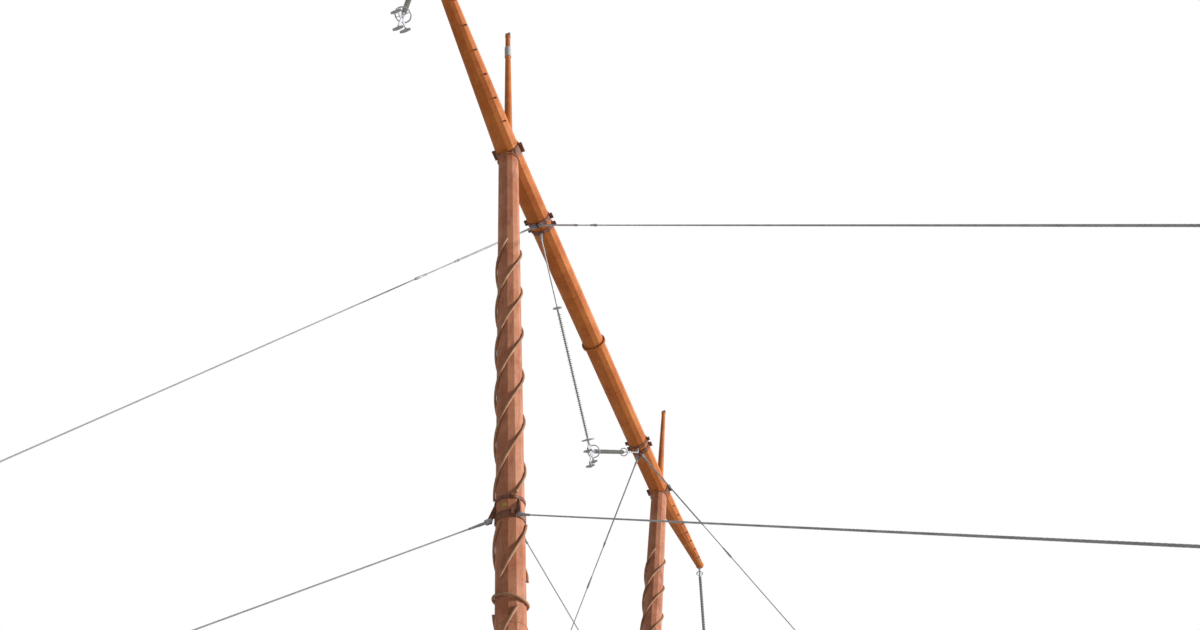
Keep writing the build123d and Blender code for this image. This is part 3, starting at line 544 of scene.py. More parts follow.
# %% Hoops
HOOP_DROP = 14.29
HOOP_SECTION = 0.066
HOOP_TILT = math.radians(14)
HOOP_LOW_SIDE = math.radians(285)
low_drop = HOOP_DROP + leg_radius(HOOP_DROP) * math.tan(HOOP_TILT)
reach = leg_radius(low_drop) + SEAT + HOOP_SECTION / 2 * math.cos(HOOP_TILT)
tilted = (moved(z=-HOOP_DROP) @ turned(HOOP_LOW_SIDE, "Z") @ turned(HOOP_TILT, "Y")
          @ turned(math.pi / 2, "Y"))
for side, name in SIDES:
    whole = bmesh.new()
    gather(whole, round_ring(reach / math.cos(HOOP_TILT), HOOP_SECTION, 56, 12),
           leg_place(side) @ tilted)
    make_piece(whole, f"{name}_round_hoop", "tower", "strake",
               [f"{name}_leg_hoop"], smooth_angle=60)

# %% [markdown]
# ## Forks and pins
#
# Every guy and string ends in a fork: two cheeks with a round nose, a block behind them, and
# a pin with a head and a split pin. A cheek starts as a box. Its two nose edges are bevelled
# with as much radius as the cheek is wide, which rounds the nose in one operator. Where two
# shapes meet, one stands a little proud, because faces in one plane would flicker.


# %% Plates with soft edges
def soften(part, edges, width, segments=2):
    """Rounds some edges of a bmesh."""
    bmesh.ops.bevel(part, geom=edges, offset=width, segments=segments, profile=0.5,
                    affect="EDGES", material=-1)


def slab(low, high, edge=0.0):
    """A box between two corners, with its edges softened."""
    part = bmesh.new()
    bmesh.ops.create_cube(part, size=1)
    size = Vector(high) - Vector(low)
    middle = (Vector(high) + Vector(low)) / 2
    part.transform(Matrix.Translation(middle) @ Matrix.Diagonal(size.to_4d()))
    if edge:
        soften(part, part.edges[:], edge)
    return part


def cheek_plate(width, reach, low_z, high_z):
    """A plate with a round nose about the origin, and its root at +X."""
    part = slab((-width / 2, -width / 2, low_z), (reach, width / 2, high_z))
    nose = [edge for edge in part.edges
            if all(vert.co.x < 0 for vert in edge.verts)
            and abs(edge.verts[0].co.z - edge.verts[1].co.z) > abs(high_z - low_z) / 2]
    soften(part, nose, width * 0.49, 6)
    return part


# %% Fork helper
PROUD = 0.001
SPLIT_ANGLE = 0.6


def add_fork(whole, place, pin, plate, width, reach, cheek, gap=0.002, head=0.012):
    """A fork whose pin lies along local Z. Its details are shares of pin, cheek and head."""
    inner = plate / 2 + gap
    outer = inner + cheek
    gather(whole, cheek_plate(width, reach, inner, outer), place)
    gather(whole, cheek_plate(width, reach, -outer, -inner), place)
    side, face = width / 2 + PROUD, outer + PROUD
    gather(whole, slab((reach - cheek * 0.7, -side, -face), (reach + PROUD, side, face),
                       cheek * 0.15), place)
    upright = place @ turned(-math.pi / 2, "Y")
    gather(whole, bar(2 * outer + head * 1.5, pin, -outer - head), upright)
    button = [(outer, 0), (outer, pin * 1.5), (outer + head * 0.7, pin * 1.5),
              (outer + head, pin * 1.2), (outer + head, 0)]
    gather(whole, lathe(button, 16), upright)
    gather(whole, bar(head * 0.6, pin * 1.35, -outer - head * 0.6), upright)
    split = place @ moved(z=-outer - head * 0.75) @ turned(SPLIT_ANGLE, "Z")
    gather(whole, bar(pin * 3.2, pin * 0.16, -pin * 1.6, 6), split)


# %% [markdown]
# ## Laid strand
#
# A guy is a steel strand: wires laid round each other with a long twist. Seven bumps round a
# ring stand for the outer wires. The ring is spun about its own centre while it moves along,
# and the bumps become the lay of the strand, as real grooves in the mesh.

# %% Strand helper
WIRES = 7
GROOVE = 0.84
LAY = 0.5
LAY_STEPS = 12


def laid_strand(start, length, radius):
    """A twisted strand along X, closed at both ends."""
    part = bmesh.new()
    bmesh.ops.create_circle(part, segments=2 * WIRES, radius=radius)
    for index, vert in enumerate(part.verts):
        if index % 2:
            vert.co *= GROOVE
    part.transform(moved(start) @ turned(math.pi / 2, "Y"))
    steps = round(length / LAY * LAY_STEPS)
    spin(part, steps, 2 * math.pi * length / LAY, climb=length / steps)
    bmesh.ops.holes_fill(part, edges=part.edges, sides=0)
    return part


# %% [markdown]
# ## The guys and the tie
#
# Each guy runs from a lug to its anchor. The upper ones start with a bright link, then comes
# a thinner stretch, and a second socket takes the long strand. The pin points follow from
# the place of the lugs, so a guy is told by two points alone.

# %% Where the guys start and end
ANCHOR_X, ANCHOR_Y = 17.4, 17.7
ANCHOR_PIN_HEIGHT, ANCHOR_PIN_STEP = 0.42, 0.19
GUY_BAND_X = 4.87
GUY_LINE_DROP = 0.324
GUY_COLLAR_DROP = 11.902
UPPER_PIN_REACH, LOWER_PIN_REACH, TIE_PIN_REACH = 0.15, 0.54, 0.47


def collar_centre(side):
    """Where the lines of the lower guys and the tie meet, on the leg's axis."""
    return Vector((side * (LEG_X - GUY_COLLAR_DROP * math.tan(LEAN)), 0,
                   ARM_HEIGHT - GUY_COLLAR_DROP))


def anchor_pin(side, face, upper):
    """The pin of a guy on its anchor plate. The upper guy's pin is further out."""
    azimuth = math.atan2(ANCHOR_Y, ANCHOR_X - GUY_BAND_X)
    inset = 0 if upper else ANCHOR_PIN_STEP
    return Vector((side * (ANCHOR_X - inset * math.cos(azimuth)),
                   face * (ANCHOR_Y - inset * math.sin(azimuth)),
                   ANCHOR_PIN_HEIGHT - inset / 2))


def guy_pin(side, face, upper):
    """The pin of a guy on the tower, in line with its anchor."""
    centre = collar_centre(side)
    if upper:
        centre = Vector((side * GUY_BAND_X, 0, ARM_HEIGHT - GUY_LINE_DROP))
    reach = UPPER_PIN_REACH if upper else LOWER_PIN_REACH
    return centre + (anchor_pin(side, face, upper) - centre).normalized() * reach


print("upper guy:", round((anchor_pin(1, 1, True) - guy_pin(1, 1, True)).length, 2), "m")

# %% Guy helpers
GUY_RADIUS, TIE_RADIUS = 0.017, 0.014
GUY_PIN, GUY_LUG, GUY_FORK_WIDTH, GUY_CHEEK = 0.022, 0.03, 0.11, 0.02
FORK_REACH, SOCKET_LENGTH = 0.11, 0.42
LINK_LENGTH, LINK_RADIUS, LINK_END = 2.9, 0.025, 0.2
THIN_LENGTH = 1.1
SUNK, STRAND_SUNK, LINK_SUNK = 0.005, 0.03, 0.05


def socket(start, length, way):
    """A poured socket: wide at the fork, slim where the strand comes out."""
    outline = [(0, 0), (0, 0.026), (0.03, 0.034), (length * 0.45, 0.034), (length * 0.5, 0.03),
               (length * 0.9, 0.024), (length * 0.93, 0.027), (length, 0.027), (length, 0)]
    if way < 0:
        outline = [(length - along, radius) for along, radius in reversed(outline)]
    return lathe([(start + along, radius) for along, radius in outline], 16)


def add_line(whole, start, end, radius, linked):
    """A guy or tie between two pins."""
    place = line_place(start, end)
    length = (end - start).length
    for at in (place, place @ moved(length) @ FLIP):
        add_fork(whole, at, GUY_PIN, GUY_LUG, GUY_FORK_WIDTH, FORK_REACH, GUY_CHEEK)
        gather(whole, socket(FORK_REACH - SUNK, SOCKET_LENGTH, 1), at)
    first = FORK_REACH + SOCKET_LENGTH
    last = length - first
    if linked:
        gather(whole, bar(LINK_LENGTH, LINK_RADIUS, first - LINK_SUNK, 18), place)
        first += LINK_LENGTH
        gather(whole, socket(first - LINK_END, LINK_END, 1), place)
        gather(whole, socket(first + THIN_LENGTH, SOCKET_LENGTH, -1), place)
    strand = laid_strand(first - STRAND_SUNK, last - first + 2 * STRAND_SUNK, radius)
    gather(whole, strand, place)


# %% Guys and tie
for side, name in SIDES:
    for face, way in FACES:
        for upper, level_name in ((True, "upper"), (False, "lower")):
            whole = bmesh.new()
            add_line(whole, guy_pin(side, face, upper), anchor_pin(side, face, upper),
                     GUY_RADIUS, upper)
            make_piece(whole, f"{name}_{way}_{level_name}_strand", "tower",
                       "galvanised_steel", [f"{name}_{way}_{level_name}_guy"])
whole = bmesh.new()
add_line(whole, collar_centre(-1) + X * TIE_PIN_REACH, collar_centre(1) - X * TIE_PIN_REACH,
         TIE_RADIUS, False)
make_piece(whole, "tie_strand", "tower", "galvanised_steel", ["leg_tie"])

# %% [markdown]
# ## The insulator strings
#
# A long rod insulator is a glass-fibre rod in a silicone skin with thin sheds, large and
# small in turn. Its outline is a zigzag: out along the top of a shed, round its rim and back
# under it. One spin turns that outline into the whole rod.

# %% Where the strings hang
joints = {joint["name"]: Vector(joint["pos_m"])
          for joint in frame["record"]["behaviour"]["joints"]}
PIN_STEP = 0.155
STRING_BAND_X = 4.6
YOKE_DROP, YOKE_REACH = 5.126, 0.2
STRING_FORK = 0.08
TIP_ROD = 0.06
ROD_LENGTH, CAP_LENGTH = 4.0, 0.13

strings = []
yoke_point = Z * (ARM_HEIGHT - YOKE_DROP)
for side, name in SIDES:
    top = Vector((side * STRING_BAND_X, 0, joints["v_string_swing"].z - PIN_STEP))
    bottom = yoke_point + (top - yoke_point).normalized() * YOKE_REACH
    strings.append((f"v_string_{name}", "v_string", top, bottom))
for side, name in SIDES:
    top = joints[f"{name}_string_swing"]
    bottom = top - Z * (STRING_FORK + TIP_ROD + ROD_LENGTH + STRING_FORK)
    strings.append((f"{name}_string", f"{name}_string", top, bottom))


def string_place(top, bottom):
    """A place at the upper pin, X down the string, Z along +Y; and where its rod starts."""
    rod_start = (bottom - top).length - STRING_FORK - ROD_LENGTH
    return axes_place(top, bottom - top, Y), rod_start


print("insulator strings:", [name for name, *_ in strings])

# %% Insulator rods
SHED_PITCH = 0.062
LARGE_SHED, SMALL_SHED = 0.064, 0.052
SHED_BACK, SHED_EDGE, SHED_ROUND = 0.016, 0.005, 0.002
CORE_RADIUS = 0.026
CAP_OUTLINE = [(0, 0), (0, 0.03), (0.012, 0.038), (0.05, 0.038), (0.056, 0.034), (0.07, 0.034),
               (0.076, 0.038), (0.118, 0.038), (0.13, 0.03), (0.13, 0)]


def insulator_outline():
    """(along, radius) points from one end of the rod to the other."""
    first, last = CAP_LENGTH / 2, ROD_LENGTH - CAP_LENGTH / 2
    points = [(first, 0), (first, CORE_RADIUS)]
    count = int((ROD_LENGTH - 2 * CAP_LENGTH) / SHED_PITCH)
    margin = (ROD_LENGTH - count * SHED_PITCH) / 2
    for shed in range(count):
        rim = SMALL_SHED if shed % 2 else LARGE_SHED
        at = margin + (shed + 0.5) * SHED_PITCH
        under = at + SHED_EDGE - SHED_ROUND
        points += [(at - SHED_BACK, CORE_RADIUS), (at, rim - SHED_ROUND), (under, rim),
                   (at + SHED_EDGE, rim - SHED_ROUND), (under, CORE_RADIUS)]
    return points + [(last, CORE_RADIUS), (last, 0)]


for name, body, top, bottom in strings:
    place, rod_start = string_place(top, bottom)
    whole = bmesh.new()
    gather(whole, lathe(insulator_outline(), 22), place @ moved(rod_start))
    make_piece(whole, f"{name}_rod", body, "insulator", [f"{name}_insulator"])
    whole = bmesh.new()
    for start in (rod_start, rod_start + ROD_LENGTH - CAP_LENGTH):
        gather(whole, lathe(CAP_OUTLINE, 22), place @ moved(start))
    make_piece(whole, f"{name}_caps", body, "string_steel")

# %% [markdown]
# ## The metal above the insulators
#
# A short hanger turns on the tower's pin and holds a second pin at a right angle to it. Below
# that a fork and a rod lead to the insulator, with a small ring that keeps an arc off the
# sheds. The long rods of the V-string are the bright upper third that shows in the picture.

# %% Hangers
PIN, LUG, STRING_WIDTH, STRING_CHEEK = 0.014, 0.024, 0.07, 0.014
EYE_SUNK = 0.004


def add_hanger(whole, pin_point):
    """A link with a fork above, its pin along X, and an eye below, its pin along Y."""
    upper = axes_place(pin_point, -Z, X)
    add_fork(whole, upper, PIN, LUG, STRING_WIDTH, STRING_FORK, STRING_CHEEK)
    lower = axes_place(pin_point - Z * PIN_STEP, Z, Y)
    reach = PIN_STEP - STRING_FORK + EYE_SUNK
    gather(whole, cheek_plate(STRING_WIDTH, reach, -LUG / 2, LUG / 2), lower)


for side, name in SIDES:
    whole = bmesh.new()
    add_hanger(whole, joints[f"{name}_hanger_swing"])
    make_piece(whole, f"{name}_hanger_link", f"{name}_hanger", "string_steel", [f"{name}_hanger"])

# %% Upper rods and rings
RING_SECTION = 0.034
SMALL_RING, LARGE_RING = 0.125, 0.18
RING_HUB, RING_ARM = 0.03, 0.009
RING_LIFT = 0.03
STRING_ROD = 0.022


def add_ring(whole, place, radius):
    """A ring round the string with two round arms to its middle."""
    gather(whole, round_ring(radius, RING_SECTION), place)
    for way in (-1, 1):
        gather(whole, bar(radius - RING_HUB, RING_ARM, RING_HUB, 10),
               place @ turned(-way * math.pi / 2, "Y"))


for name, body, top, bottom in strings:
    place, rod_start = string_place(top, bottom)
    whole = bmesh.new()
    if body == "v_string":
        add_hanger(whole, top + Z * PIN_STEP)
    add_fork(whole, place, PIN, LUG, STRING_WIDTH, STRING_FORK, STRING_CHEEK)
    gather(whole, bar(rod_start - STRING_FORK + 2 * SUNK, STRING_ROD, STRING_FORK - SUNK, 18),
           place)
    add_ring(whole, place @ moved(rod_start - RING_LIFT), SMALL_RING)
    make_piece(whole, f"{name}_top_metal", body, "string_steel", [f"{name}_link"])

# %% [markdown]
# ## The metal below the insulators
#
# The lower ring is the larger one and spreads the field at the live end. The yoke plate under
# it holds three clamps, two level and one below. A plate starts as one face with the outline
# that it needs. It is extruded to its thickness, and all its edges are broken with a bevel.

# %% Yoke helpers
YOKE_PLATE, YOKE_EDGE = 0.02, 0.003
BUNDLE_SPACING = 0.457
CLAMP_HANG = 0.11
LUG_EDGE = STRING_WIDTH / 2


def bundle_points(yoke):
    """The axes of the three clamps under a yoke's pin."""
    high = yoke.z - CLAMP_HANG - YOKE_REACH / 2
    half = BUNDLE_SPACING / 2
    return [Vector((yoke.x - half, 0, high)), Vector((yoke.x + half, 0, high)),
            Vector((yoke.x, 0, high - half * math.sqrt(3)))]


def yoke_plate(yoke, pins):
    """The plate that joins the pins of a string to the three pins of its clamps."""
    half = BUNDLE_SPACING / 2 + LUG_EDGE
    top = max(pin.z for pin in pins) + LUG_EDGE
    wide = max(abs(pin.x - yoke.x) for pin in pins) + LUG_EDGE
    low, _, bottom = [point.z + CLAMP_HANG - LUG_EDGE for point in bundle_points(yoke)]
    right_half = [(wide, top), (half, low + LUG_EDGE), (half, low), (LUG_EDGE, low),
                  (LUG_EDGE, bottom)]
    outline = right_half + [(-x, z) for x, z in reversed(right_half)]
    part = bmesh.new()
    corners = [part.verts.new((yoke.x + x, -YOKE_PLATE / 2, z)) for x, z in outline]
    face = part.faces.new(corners)
    grown = bmesh.ops.extrude_face_region(part, geom=[face])["geom"]
    bmesh.ops.translate(part, vec=Y * YOKE_PLATE,
                        verts=[item for item in grown if isinstance(item, bmesh.types.BMVert)])
    soften(part, part.edges[:], YOKE_EDGE)
    return part


# %% Yokes
yokes = {"v_string": yoke_point}
for group in ("v_string", "left_string", "right_string"):
    ends = [(top, bottom) for name, body, top, bottom in strings if body == group]
    yoke = yokes.setdefault(group, ends[0][1])
    whole = bmesh.new()
    gather(whole, yoke_plate(yoke, [bottom for top, bottom in ends]))
    for top, bottom in ends:
        place, rod_start = string_place(top, bottom)
        rod_end = rod_start + ROD_LENGTH
        add_fork(whole, place @ moved(rod_end + STRING_FORK) @ FLIP, PIN, YOKE_PLATE,
                 STRING_WIDTH, STRING_FORK, STRING_CHEEK)
        add_ring(whole, place @ moved(rod_end - CAP_LENGTH / 2), LARGE_RING)
    make_piece(whole, f"{group}_yoke_set", group, "string_steel", [f"{group}_yoke"])

# %% [markdown]
# ## Bolts
#
# A structural bolt shows a hexagon on a round washer, and behind the plate a nut with a
# little thread. The hexagon is a cone with six sides and equal ends, whose outer rim is cut
# back by a bevel, as the real one is turned off. The sizes of head and washer are shares of
# the bolt's diameter.

# %% Bolt helpers
HEAD_WIDTH, HEAD_HEIGHT, HEAD_EDGE = 1.6, 0.7, 0.07
WASHER_RADIUS, WASHER_HEIGHT = 1.05, 0.18
STUB_SUNK, STUB = 0.01, 0.35


def hexagon(width, height):
    """A hexagon head along X, with its outer rim turned off."""
    part = bmesh.new()
    corner = width / 2 / math.cos(math.pi / 6)
    bmesh.ops.create_cone(part, cap_ends=True, segments=6, radius1=corner, radius2=corner,
                          depth=height)
    part.transform(moved(height / 2) @ turned(math.pi / 2, "Y"))
    rim = [edge for edge in part.edges
           if all(vert.co.x > height * 0.9 for vert in edge.verts)]
    soften(part, rim, width * HEAD_EDGE)
    return part


def add_head(whole, place, size, stub=0.0):
    """A washer and a hexagon on a surface, X outwards, with a stub of thread beyond a nut."""
    washer = size * WASHER_HEIGHT
    gather(whole, bar(washer, size * WASHER_RADIUS), place)
    gather(whole, hexagon(size * HEAD_WIDTH, size * HEAD_HEIGHT), place @ moved(washer))
    if stub:
        inside = washer + size * (HEAD_HEIGHT - STUB_SUNK)
        gather(whole, bar(stub, size / 2, inside, 12), place)


def add_bolt(whole, place, size, grip):
    """A bolt through a plate: its head at the place, X outwards, and its nut behind."""
    add_head(whole, place, size)
    add_head(whole, place @ moved(-grip) @ FLIP, size, size * STUB)


def add_corner_bolts(whole, middle, along, across, size, stub, outward=Z, turn=X):
    """Four bolt heads about the middle of a plate, which faces up unless told."""
    for x in (-1, 1):
        for y in (-1, 1):
            seat = axes_place(middle + along * x + across * y, outward, turn)
            add_head(whole, seat, size, stub)


# %% [markdown]
# ## Suspension clamps
#
# Each clamp is a boat with a round bore. The boat is thick in its middle and slim at its
# mouths, so it is lathed from a closed outline that never touches the axis. A keeper with
# four bolts closes it from below.

# %% Clamps
BORE = 0.0152
BOAT_HALF = [(0.13, BORE), (0.13, 0.026), (0.105, 0.031), (0.05, 0.035)]
BOAT = BOAT_HALF + [(0, 0.035)] + [(-along, radius) for along, radius in reversed(BOAT_HALF)]
KEEPER = Vector((0.026, 0.06, -0.03))
KEEPER_LOW, KEEPER_EDGE = -0.047, 0.004
# Half the bolts' pattern each way, size, stub, where they face, turn
KEEPER_BOLTS = (X * 0.017, Y * 0.04, 0.01, 0.006, -Z, Y)
CLAMP_PIN, CLAMP_WIDTH, CLAMP_CHEEK, CLAMP_HEAD = 0.01, 0.044, 0.01, 0.008


def add_clamp(whole, point):
    """A clamp whose bore has this middle, with the fork that hangs it on the yoke."""
    gather(whole, lathe(BOAT, 24, closed=True), axes_place(point, Y, Z))
    keeper = slab((-KEEPER.x, -KEEPER.y, KEEPER_LOW), KEEPER, KEEPER_EDGE)
    gather(whole, keeper, Matrix.Translation(point))
    add_corner_bolts(whole, point + Z * KEEPER_LOW, *KEEPER_BOLTS)
    pin =axes_place(point + Z * CLAMP_HANG, -Z, Y)
    add_fork(whole, pin, CLAMP_PIN, YOKE_PLATE, CLAMP_WIDTH, CLAMP_HANG + KEEPER.z,
             CLAMP_CHEEK, head=CLAMP_HEAD)


for group, yoke in yokes.items():
    whole = bmesh.new()
    for point in bundle_points(yoke):
        add_clamp(whole, point)
    make_piece(whole, f"{group}_clamp_set", group, "string_steel", [f"{group}_clamps"])

# %% [markdown]
# ## The bolts of the tower
#
# Bolts sit where parts are joined: round the middle flange, through the ears of every split
# clamp, under the masts, on the shoes and on the anchor plates. Each group is worked out
# from the part that it holds, so that a row of bolts is one loop.

# %% Flange bolts
FLANGE_HALF = 0.04
FLANGE_BOLTS = 20
FLANGE_BOLT_RADIUS = 0.366
LARGE_BOLT = 0.022
whole = bmesh.new()
for index in range(FLANGE_BOLTS):
    angle = 2 * math.pi * (index + 0.5) / FLANGE_BOLTS
    seat = moved(FLANGE_HALF, FLANGE_BOLT_RADIUS * math.cos(angle),
                 ARM_HEIGHT + FLANGE_BOLT_RADIUS * math.sin(angle))
    add_bolt(whole, seat, LARGE_BOLT, 2 * FLANGE_HALF)
make_piece(whole, "flange_bolts", "tower", "dark_fittings")

# %% Clamp bolts
SADDLE_THICKNESS, BAND_THICKNESS = 0.03, 0.025
EAR_HALF, EAR_REACH = 0.03, 0.085
EAR_MIDDLE = EAR_REACH * 0.45
# Each clamp of the arm: x, thickness, places of its bolts and their size
ARM_CLAMPS = ((LEG_X, SADDLE_THICKNESS, (-0.09, 0, 0.09), 0.024),
              (GUY_BAND_X, BAND_THICKNESS, (-0.045, 0.045), 0.02),
              (STRING_BAND_X, BAND_THICKNESS, (-0.034, 0.034), 0.02))
# Each ring of a collar: its drop and the places of its bolts
COLLARS = ((11.89, (0,)), (12.32, (-0.045, 0.045)))
COLLAR_END_DROP = 12.4
COLLAR_REACH = leg_radius(COLLAR_END_DROP) + BAND_THICKNESS + EAR_MIDDLE
COLLAR_EARS = (30, 210)
for side, name in SIDES:
    whole = bmesh.new()
    for x, thickness, offsets, size in ARM_CLAMPS:
        for face in (-1, 1):
            for offset in offsets:
                seat = Vector((side * x + offset, face * (ARM_RADIUS + thickness + EAR_MIDDLE),
                               ARM_HEIGHT + EAR_HALF))
                add_bolt(whole, axes_place(seat, Z, X), size, 2 * EAR_HALF)
    for drop, offsets in COLLARS:
        for ear_angle in COLLAR_EARS:
            ear = leg_place(side) @ turned(math.radians(ear_angle), "Z")
            for offset in offsets:
                seat = ear @ moved(COLLAR_REACH, EAR_HALF, offset - drop)
                add_bolt(whole, seat @ turned(math.pi / 2, "Z"), LARGE_BOLT, 2 * EAR_HALF)
    make_piece(whole, f"{name}_clamp_bolts", "tower", "dark_fittings")

# %% Mast, shoe and anchor bolts
MAST_SEAT = (ARM_RADIUS + SEAT + SADDLE_THICKNESS) * FLAT + SEAT
MAST_PLATE, ANCHOR_PLATE = 0.03, 0.03
MAST_BOLTS = (X * 0.118, Y * 0.1, 0.016, 0.012)
SHOE_BOLTS = (X * 0.3, Y * 0.3, 0.036, 0.06)
ANCHOR_HALF, ANCHOR_BOLT, ANCHOR_STUB = (0.32, 0.15), 0.03, 0.04
for side, name in SIDES:
    whole = bmesh.new()
    mast_foot = Vector((side * (LEG_X + MAST_SEAT * math.tan(LEAN)), 0,
                        ARM_HEIGHT + MAST_SEAT + MAST_PLATE))
    add_corner_bolts(whole, mast_foot, *MAST_BOLTS)
    shoe_foot = Vector((side * (LEG_X - (ARM_HEIGHT - SHOE_TOP) * math.tan(LEAN)), 0,
                        SHOE_TOP))
    add_corner_bolts(whole, shoe_foot, *SHOE_BOLTS)
    for face in (-1, 1):
        middle = (anchor_pin(side, face, True) + anchor_pin(side, face, False)) / 2
        middle.z = ANCHOR_PLATE
        outwards = Vector((side * (ANCHOR_X - GUY_BAND_X), face * ANCHOR_Y, 0)).normalized()
        add_corner_bolts(whole, middle, outwards * ANCHOR_HALF[0],
                         Z.cross(outwards) * ANCHOR_HALF[1], ANCHOR_BOLT, ANCHOR_STUB)
    make_piece(whole, f"{name}_base_bolts", "tower", "galvanised_steel")

# %% [markdown]
# ## Welds
#
# Where two lengths of tube meet, a bead of weld runs round the joint. The tube has twelve
# flats, so the bead is a ring of round bar with twelve straight lengths, and its corners lie
# on the corners of the tube.

# %% Weld beads
BEAD = 0.02
PLATE = 0.03
ARM_SEAM_X = 2.03
ARM_RISE = math.atan2(ARM_TIP.z - ARM_HEIGHT, ARM_TIP.x - ARM_KINK_X)
OUTER_LENGTH = math.hypot(ARM_TIP.z - ARM_HEIGHT, ARM_TIP.x - ARM_KINK_X)


def add_bead(whole, place, radius):
    """A bead round a tube whose axis is the place's X."""
    ring = round_ring(radius, BEAD, TUBE_SIDES, 8)
    gather(whole, ring, place @ turned(math.pi / TUBE_SIDES, "X"))


def arm_place(side, share=1.0):
    """A place at the arm's kink, turned up by a share of the outer arm's rise."""
    return moved(side * ARM_KINK_X, 0, ARM_HEIGHT) @ turned(-side * ARM_RISE * share, "Y")


for side, name in SIDES:
    whole = bmesh.new()
    for drop in (LEG_TOP_DROP, LEG_MIDDLE_DROP, LEG_FOOT_DROP - PLATE):
        place = leg_place(side) @ moved(z=-drop) @ turned(math.pi / 2, "Y")
        add_bead(whole, place, leg_radius(drop))
    make_piece(whole, f"{name}_leg_welds", "tower", "weathering_steel")
    whole = bmesh.new()
    for x in (FLANGE_HALF, ARM_SEAM_X):
        add_bead(whole, moved(side * x, 0, ARM_HEIGHT), ARM_RADIUS)
    add_bead(whole, arm_place(side, 0.5), ARM_RADIUS)
    add_bead(whole, arm_place(side) @ moved(side * (OUTER_LENGTH - PLATE)), ARM_TIP_RADIUS)
    make_piece(whole, f"{name}_arm_welds", "tower", "weathering_steel", finish=arm_steel)

# %% [markdown]
# ## Sockets for step bolts
#
# A row of short sockets runs along the outer arm, on the flat that faces down and to the
# front. They show as dark dots, because each has a hole for a step bolt.

# %% Step sockets
STEP_FIRST_X, STEP_SPACING, STEP_COUNT = 8.08, 0.66, 7
STEP_FLAT = math.radians(210)
STEP_SUNK = 0.006
SOCKET_OUTLINE = [(0, 0.011), (0, 0.024), (0.061, 0.024), (0.065, 0.02), (0.065, 0.011)]
outwards = Vector((0, math.cos(STEP_FLAT), math.sin(STEP_FLAT)))
for side, name in SIDES:
    whole = bmesh.new()
    for index in range(STEP_COUNT):
        run = (STEP_FIRST_X + index * STEP_SPACING - ARM_KINK_X) / math.cos(ARM_RISE)
        taper = (ARM_TIP_RADIUS - ARM_RADIUS) * run / OUTER_LENGTH
        seat = outwards * ((ARM_RADIUS + taper) * FLAT - STEP_SUNK)
        seat.x = side * run
        gather(whole, lathe(SOCKET_OUTLINE, 16, closed=True),
               arm_place(side) @ axes_place(seat, outwards, X))
    make_piece(whole, f"{name}_step_sockets", "tower", "dark_fittings")

# %% [markdown]
# ## The pale sleeve
#
# The left mast carries a short pale sleeve near its top. It is lathed from a closed outline
# with soft rims, and its bore lies just inside the flats of the mast, so that no gap shows.

# %% Mast sleeve
SLEEVE_LOW, SLEEVE_HIGH = 4.38 / math.cos(LEAN), 4.84 / math.cos(LEAN)
SLEEVE_RADIUS, SLEEVE_BORE, SLEEVE_EDGE = 0.102, 0.078, 0.006
white = finish_material(
    "white_paint", mineral,
    {"Light": (0.5, 0.5, 0.48, 1), "Dark": (0.42, 0.42, 0.4, 1), "Cloud Size": 4.0,
     "Pore Size": 30.0}, 0.0004, 0.2)
rim = SLEEVE_RADIUS - SLEEVE_EDGE
sleeve = [(SLEEVE_LOW, SLEEVE_BORE), (SLEEVE_LOW, rim),
          (SLEEVE_LOW + SLEEVE_EDGE, SLEEVE_RADIUS),
          (SLEEVE_HIGH - SLEEVE_EDGE, SLEEVE_RADIUS),
          (SLEEVE_HIGH, rim), (SLEEVE_HIGH, SLEEVE_BORE)]
whole = bmesh.new()
gather(whole, lathe(sleeve, 32, closed=True), leg_place(-1) @ turned(-math.pi / 2, "Y"))
make_piece(whole, "left_mast_sleeve", "tower", "galvanised_steel", finish=white)

# %% [markdown]
# ## A marker plate
#
# A small plain yellow plate is bolted to the left leg, between the rings of the collar. It
# stands off the tube on two studs, so that a thin line of shade runs round it.

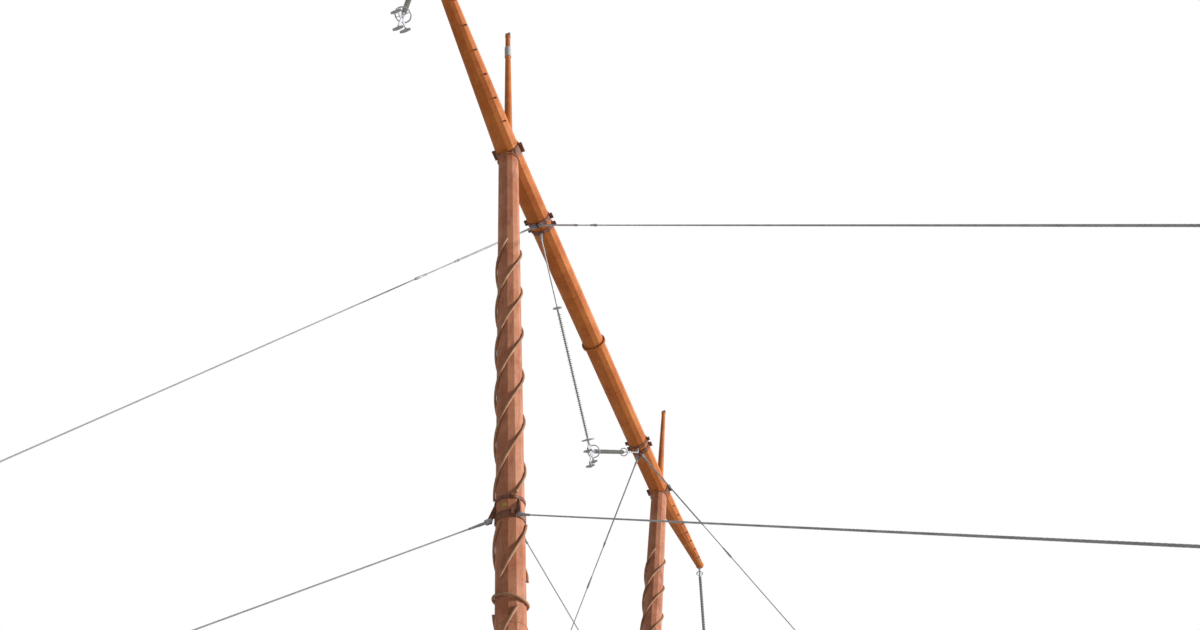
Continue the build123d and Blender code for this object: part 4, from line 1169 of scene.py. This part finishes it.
# %% Marker plate
MARKER_DROP, MARKER_TURN = 12.08, math.radians(180)
MARKER_HALF, MARKER_EDGE = 0.055, 0.0012
MARKER_BACK, MARKER_FACE = 0.004, 0.008
STUD_SUNK, STUD_LENGTH, STUD_RADIUS = 0.002, 0.01, 0.006
STUD_HEIGHT, STUD_BOLT = 0.7 * MARKER_HALF, 0.01
yellow = finish_material(
    "yellow_paint", mineral,
    {"Light": (0.6, 0.42, 0.06, 1), "Dark": (0.46, 0.31, 0.05, 1), "Cloud Size": 9.0,
     "Pore Size": 60.0}, 0.0003, 0.2)
facing = Vector((math.cos(MARKER_TURN), math.sin(MARKER_TURN), 0))
seat = facing * (leg_radius(MARKER_DROP) * FLAT) - Z * MARKER_DROP
place = leg_place(-1) @ axes_place(seat, facing, Z)
whole = bmesh.new()
gather(whole, slab((MARKER_BACK, -MARKER_HALF, -MARKER_HALF),
                   (MARKER_FACE, MARKER_HALF, MARKER_HALF), MARKER_EDGE), place)
for height in (-STUD_HEIGHT, STUD_HEIGHT):
    stud = place @ moved(z=height)
    gather(whole, bar(STUD_LENGTH, STUD_RADIUS, -STUD_SUNK, 10), stud)
    add_head(whole, stud @ moved(MARKER_FACE), STUD_BOLT)
make_piece(whole, "marker_plate", "tower", "galvanised_steel", finish=yellow)

# %% [markdown]
# ## The floor
#
# The tower stands on a plain pale floor, which isn't part of it.

# %% Floor
FLOOR_SIZE = 400
floor_shape = bmesh.new()
bmesh.ops.create_grid(floor_shape, x_segments=1, y_segments=1, size=FLOOR_SIZE / 2)
floor_mesh = bpy.data.meshes.new("floor")
floor_shape.to_mesh(floor_mesh)
floor_shape.free()
floor = add_object("floor", floor_mesh)
pale = bpy.data.materials.new("pale_floor")
pale.use_nodes = True
shader = pale.node_tree.nodes["Principled BSDF"]
shader.inputs["Base Color"].default_value = (0.72, 0.72, 0.71, 1)
shader.inputs["Roughness"].default_value = 0.9
floor_mesh.materials.append(pale)
print("floor:", FLOOR_SIZE, "m square")
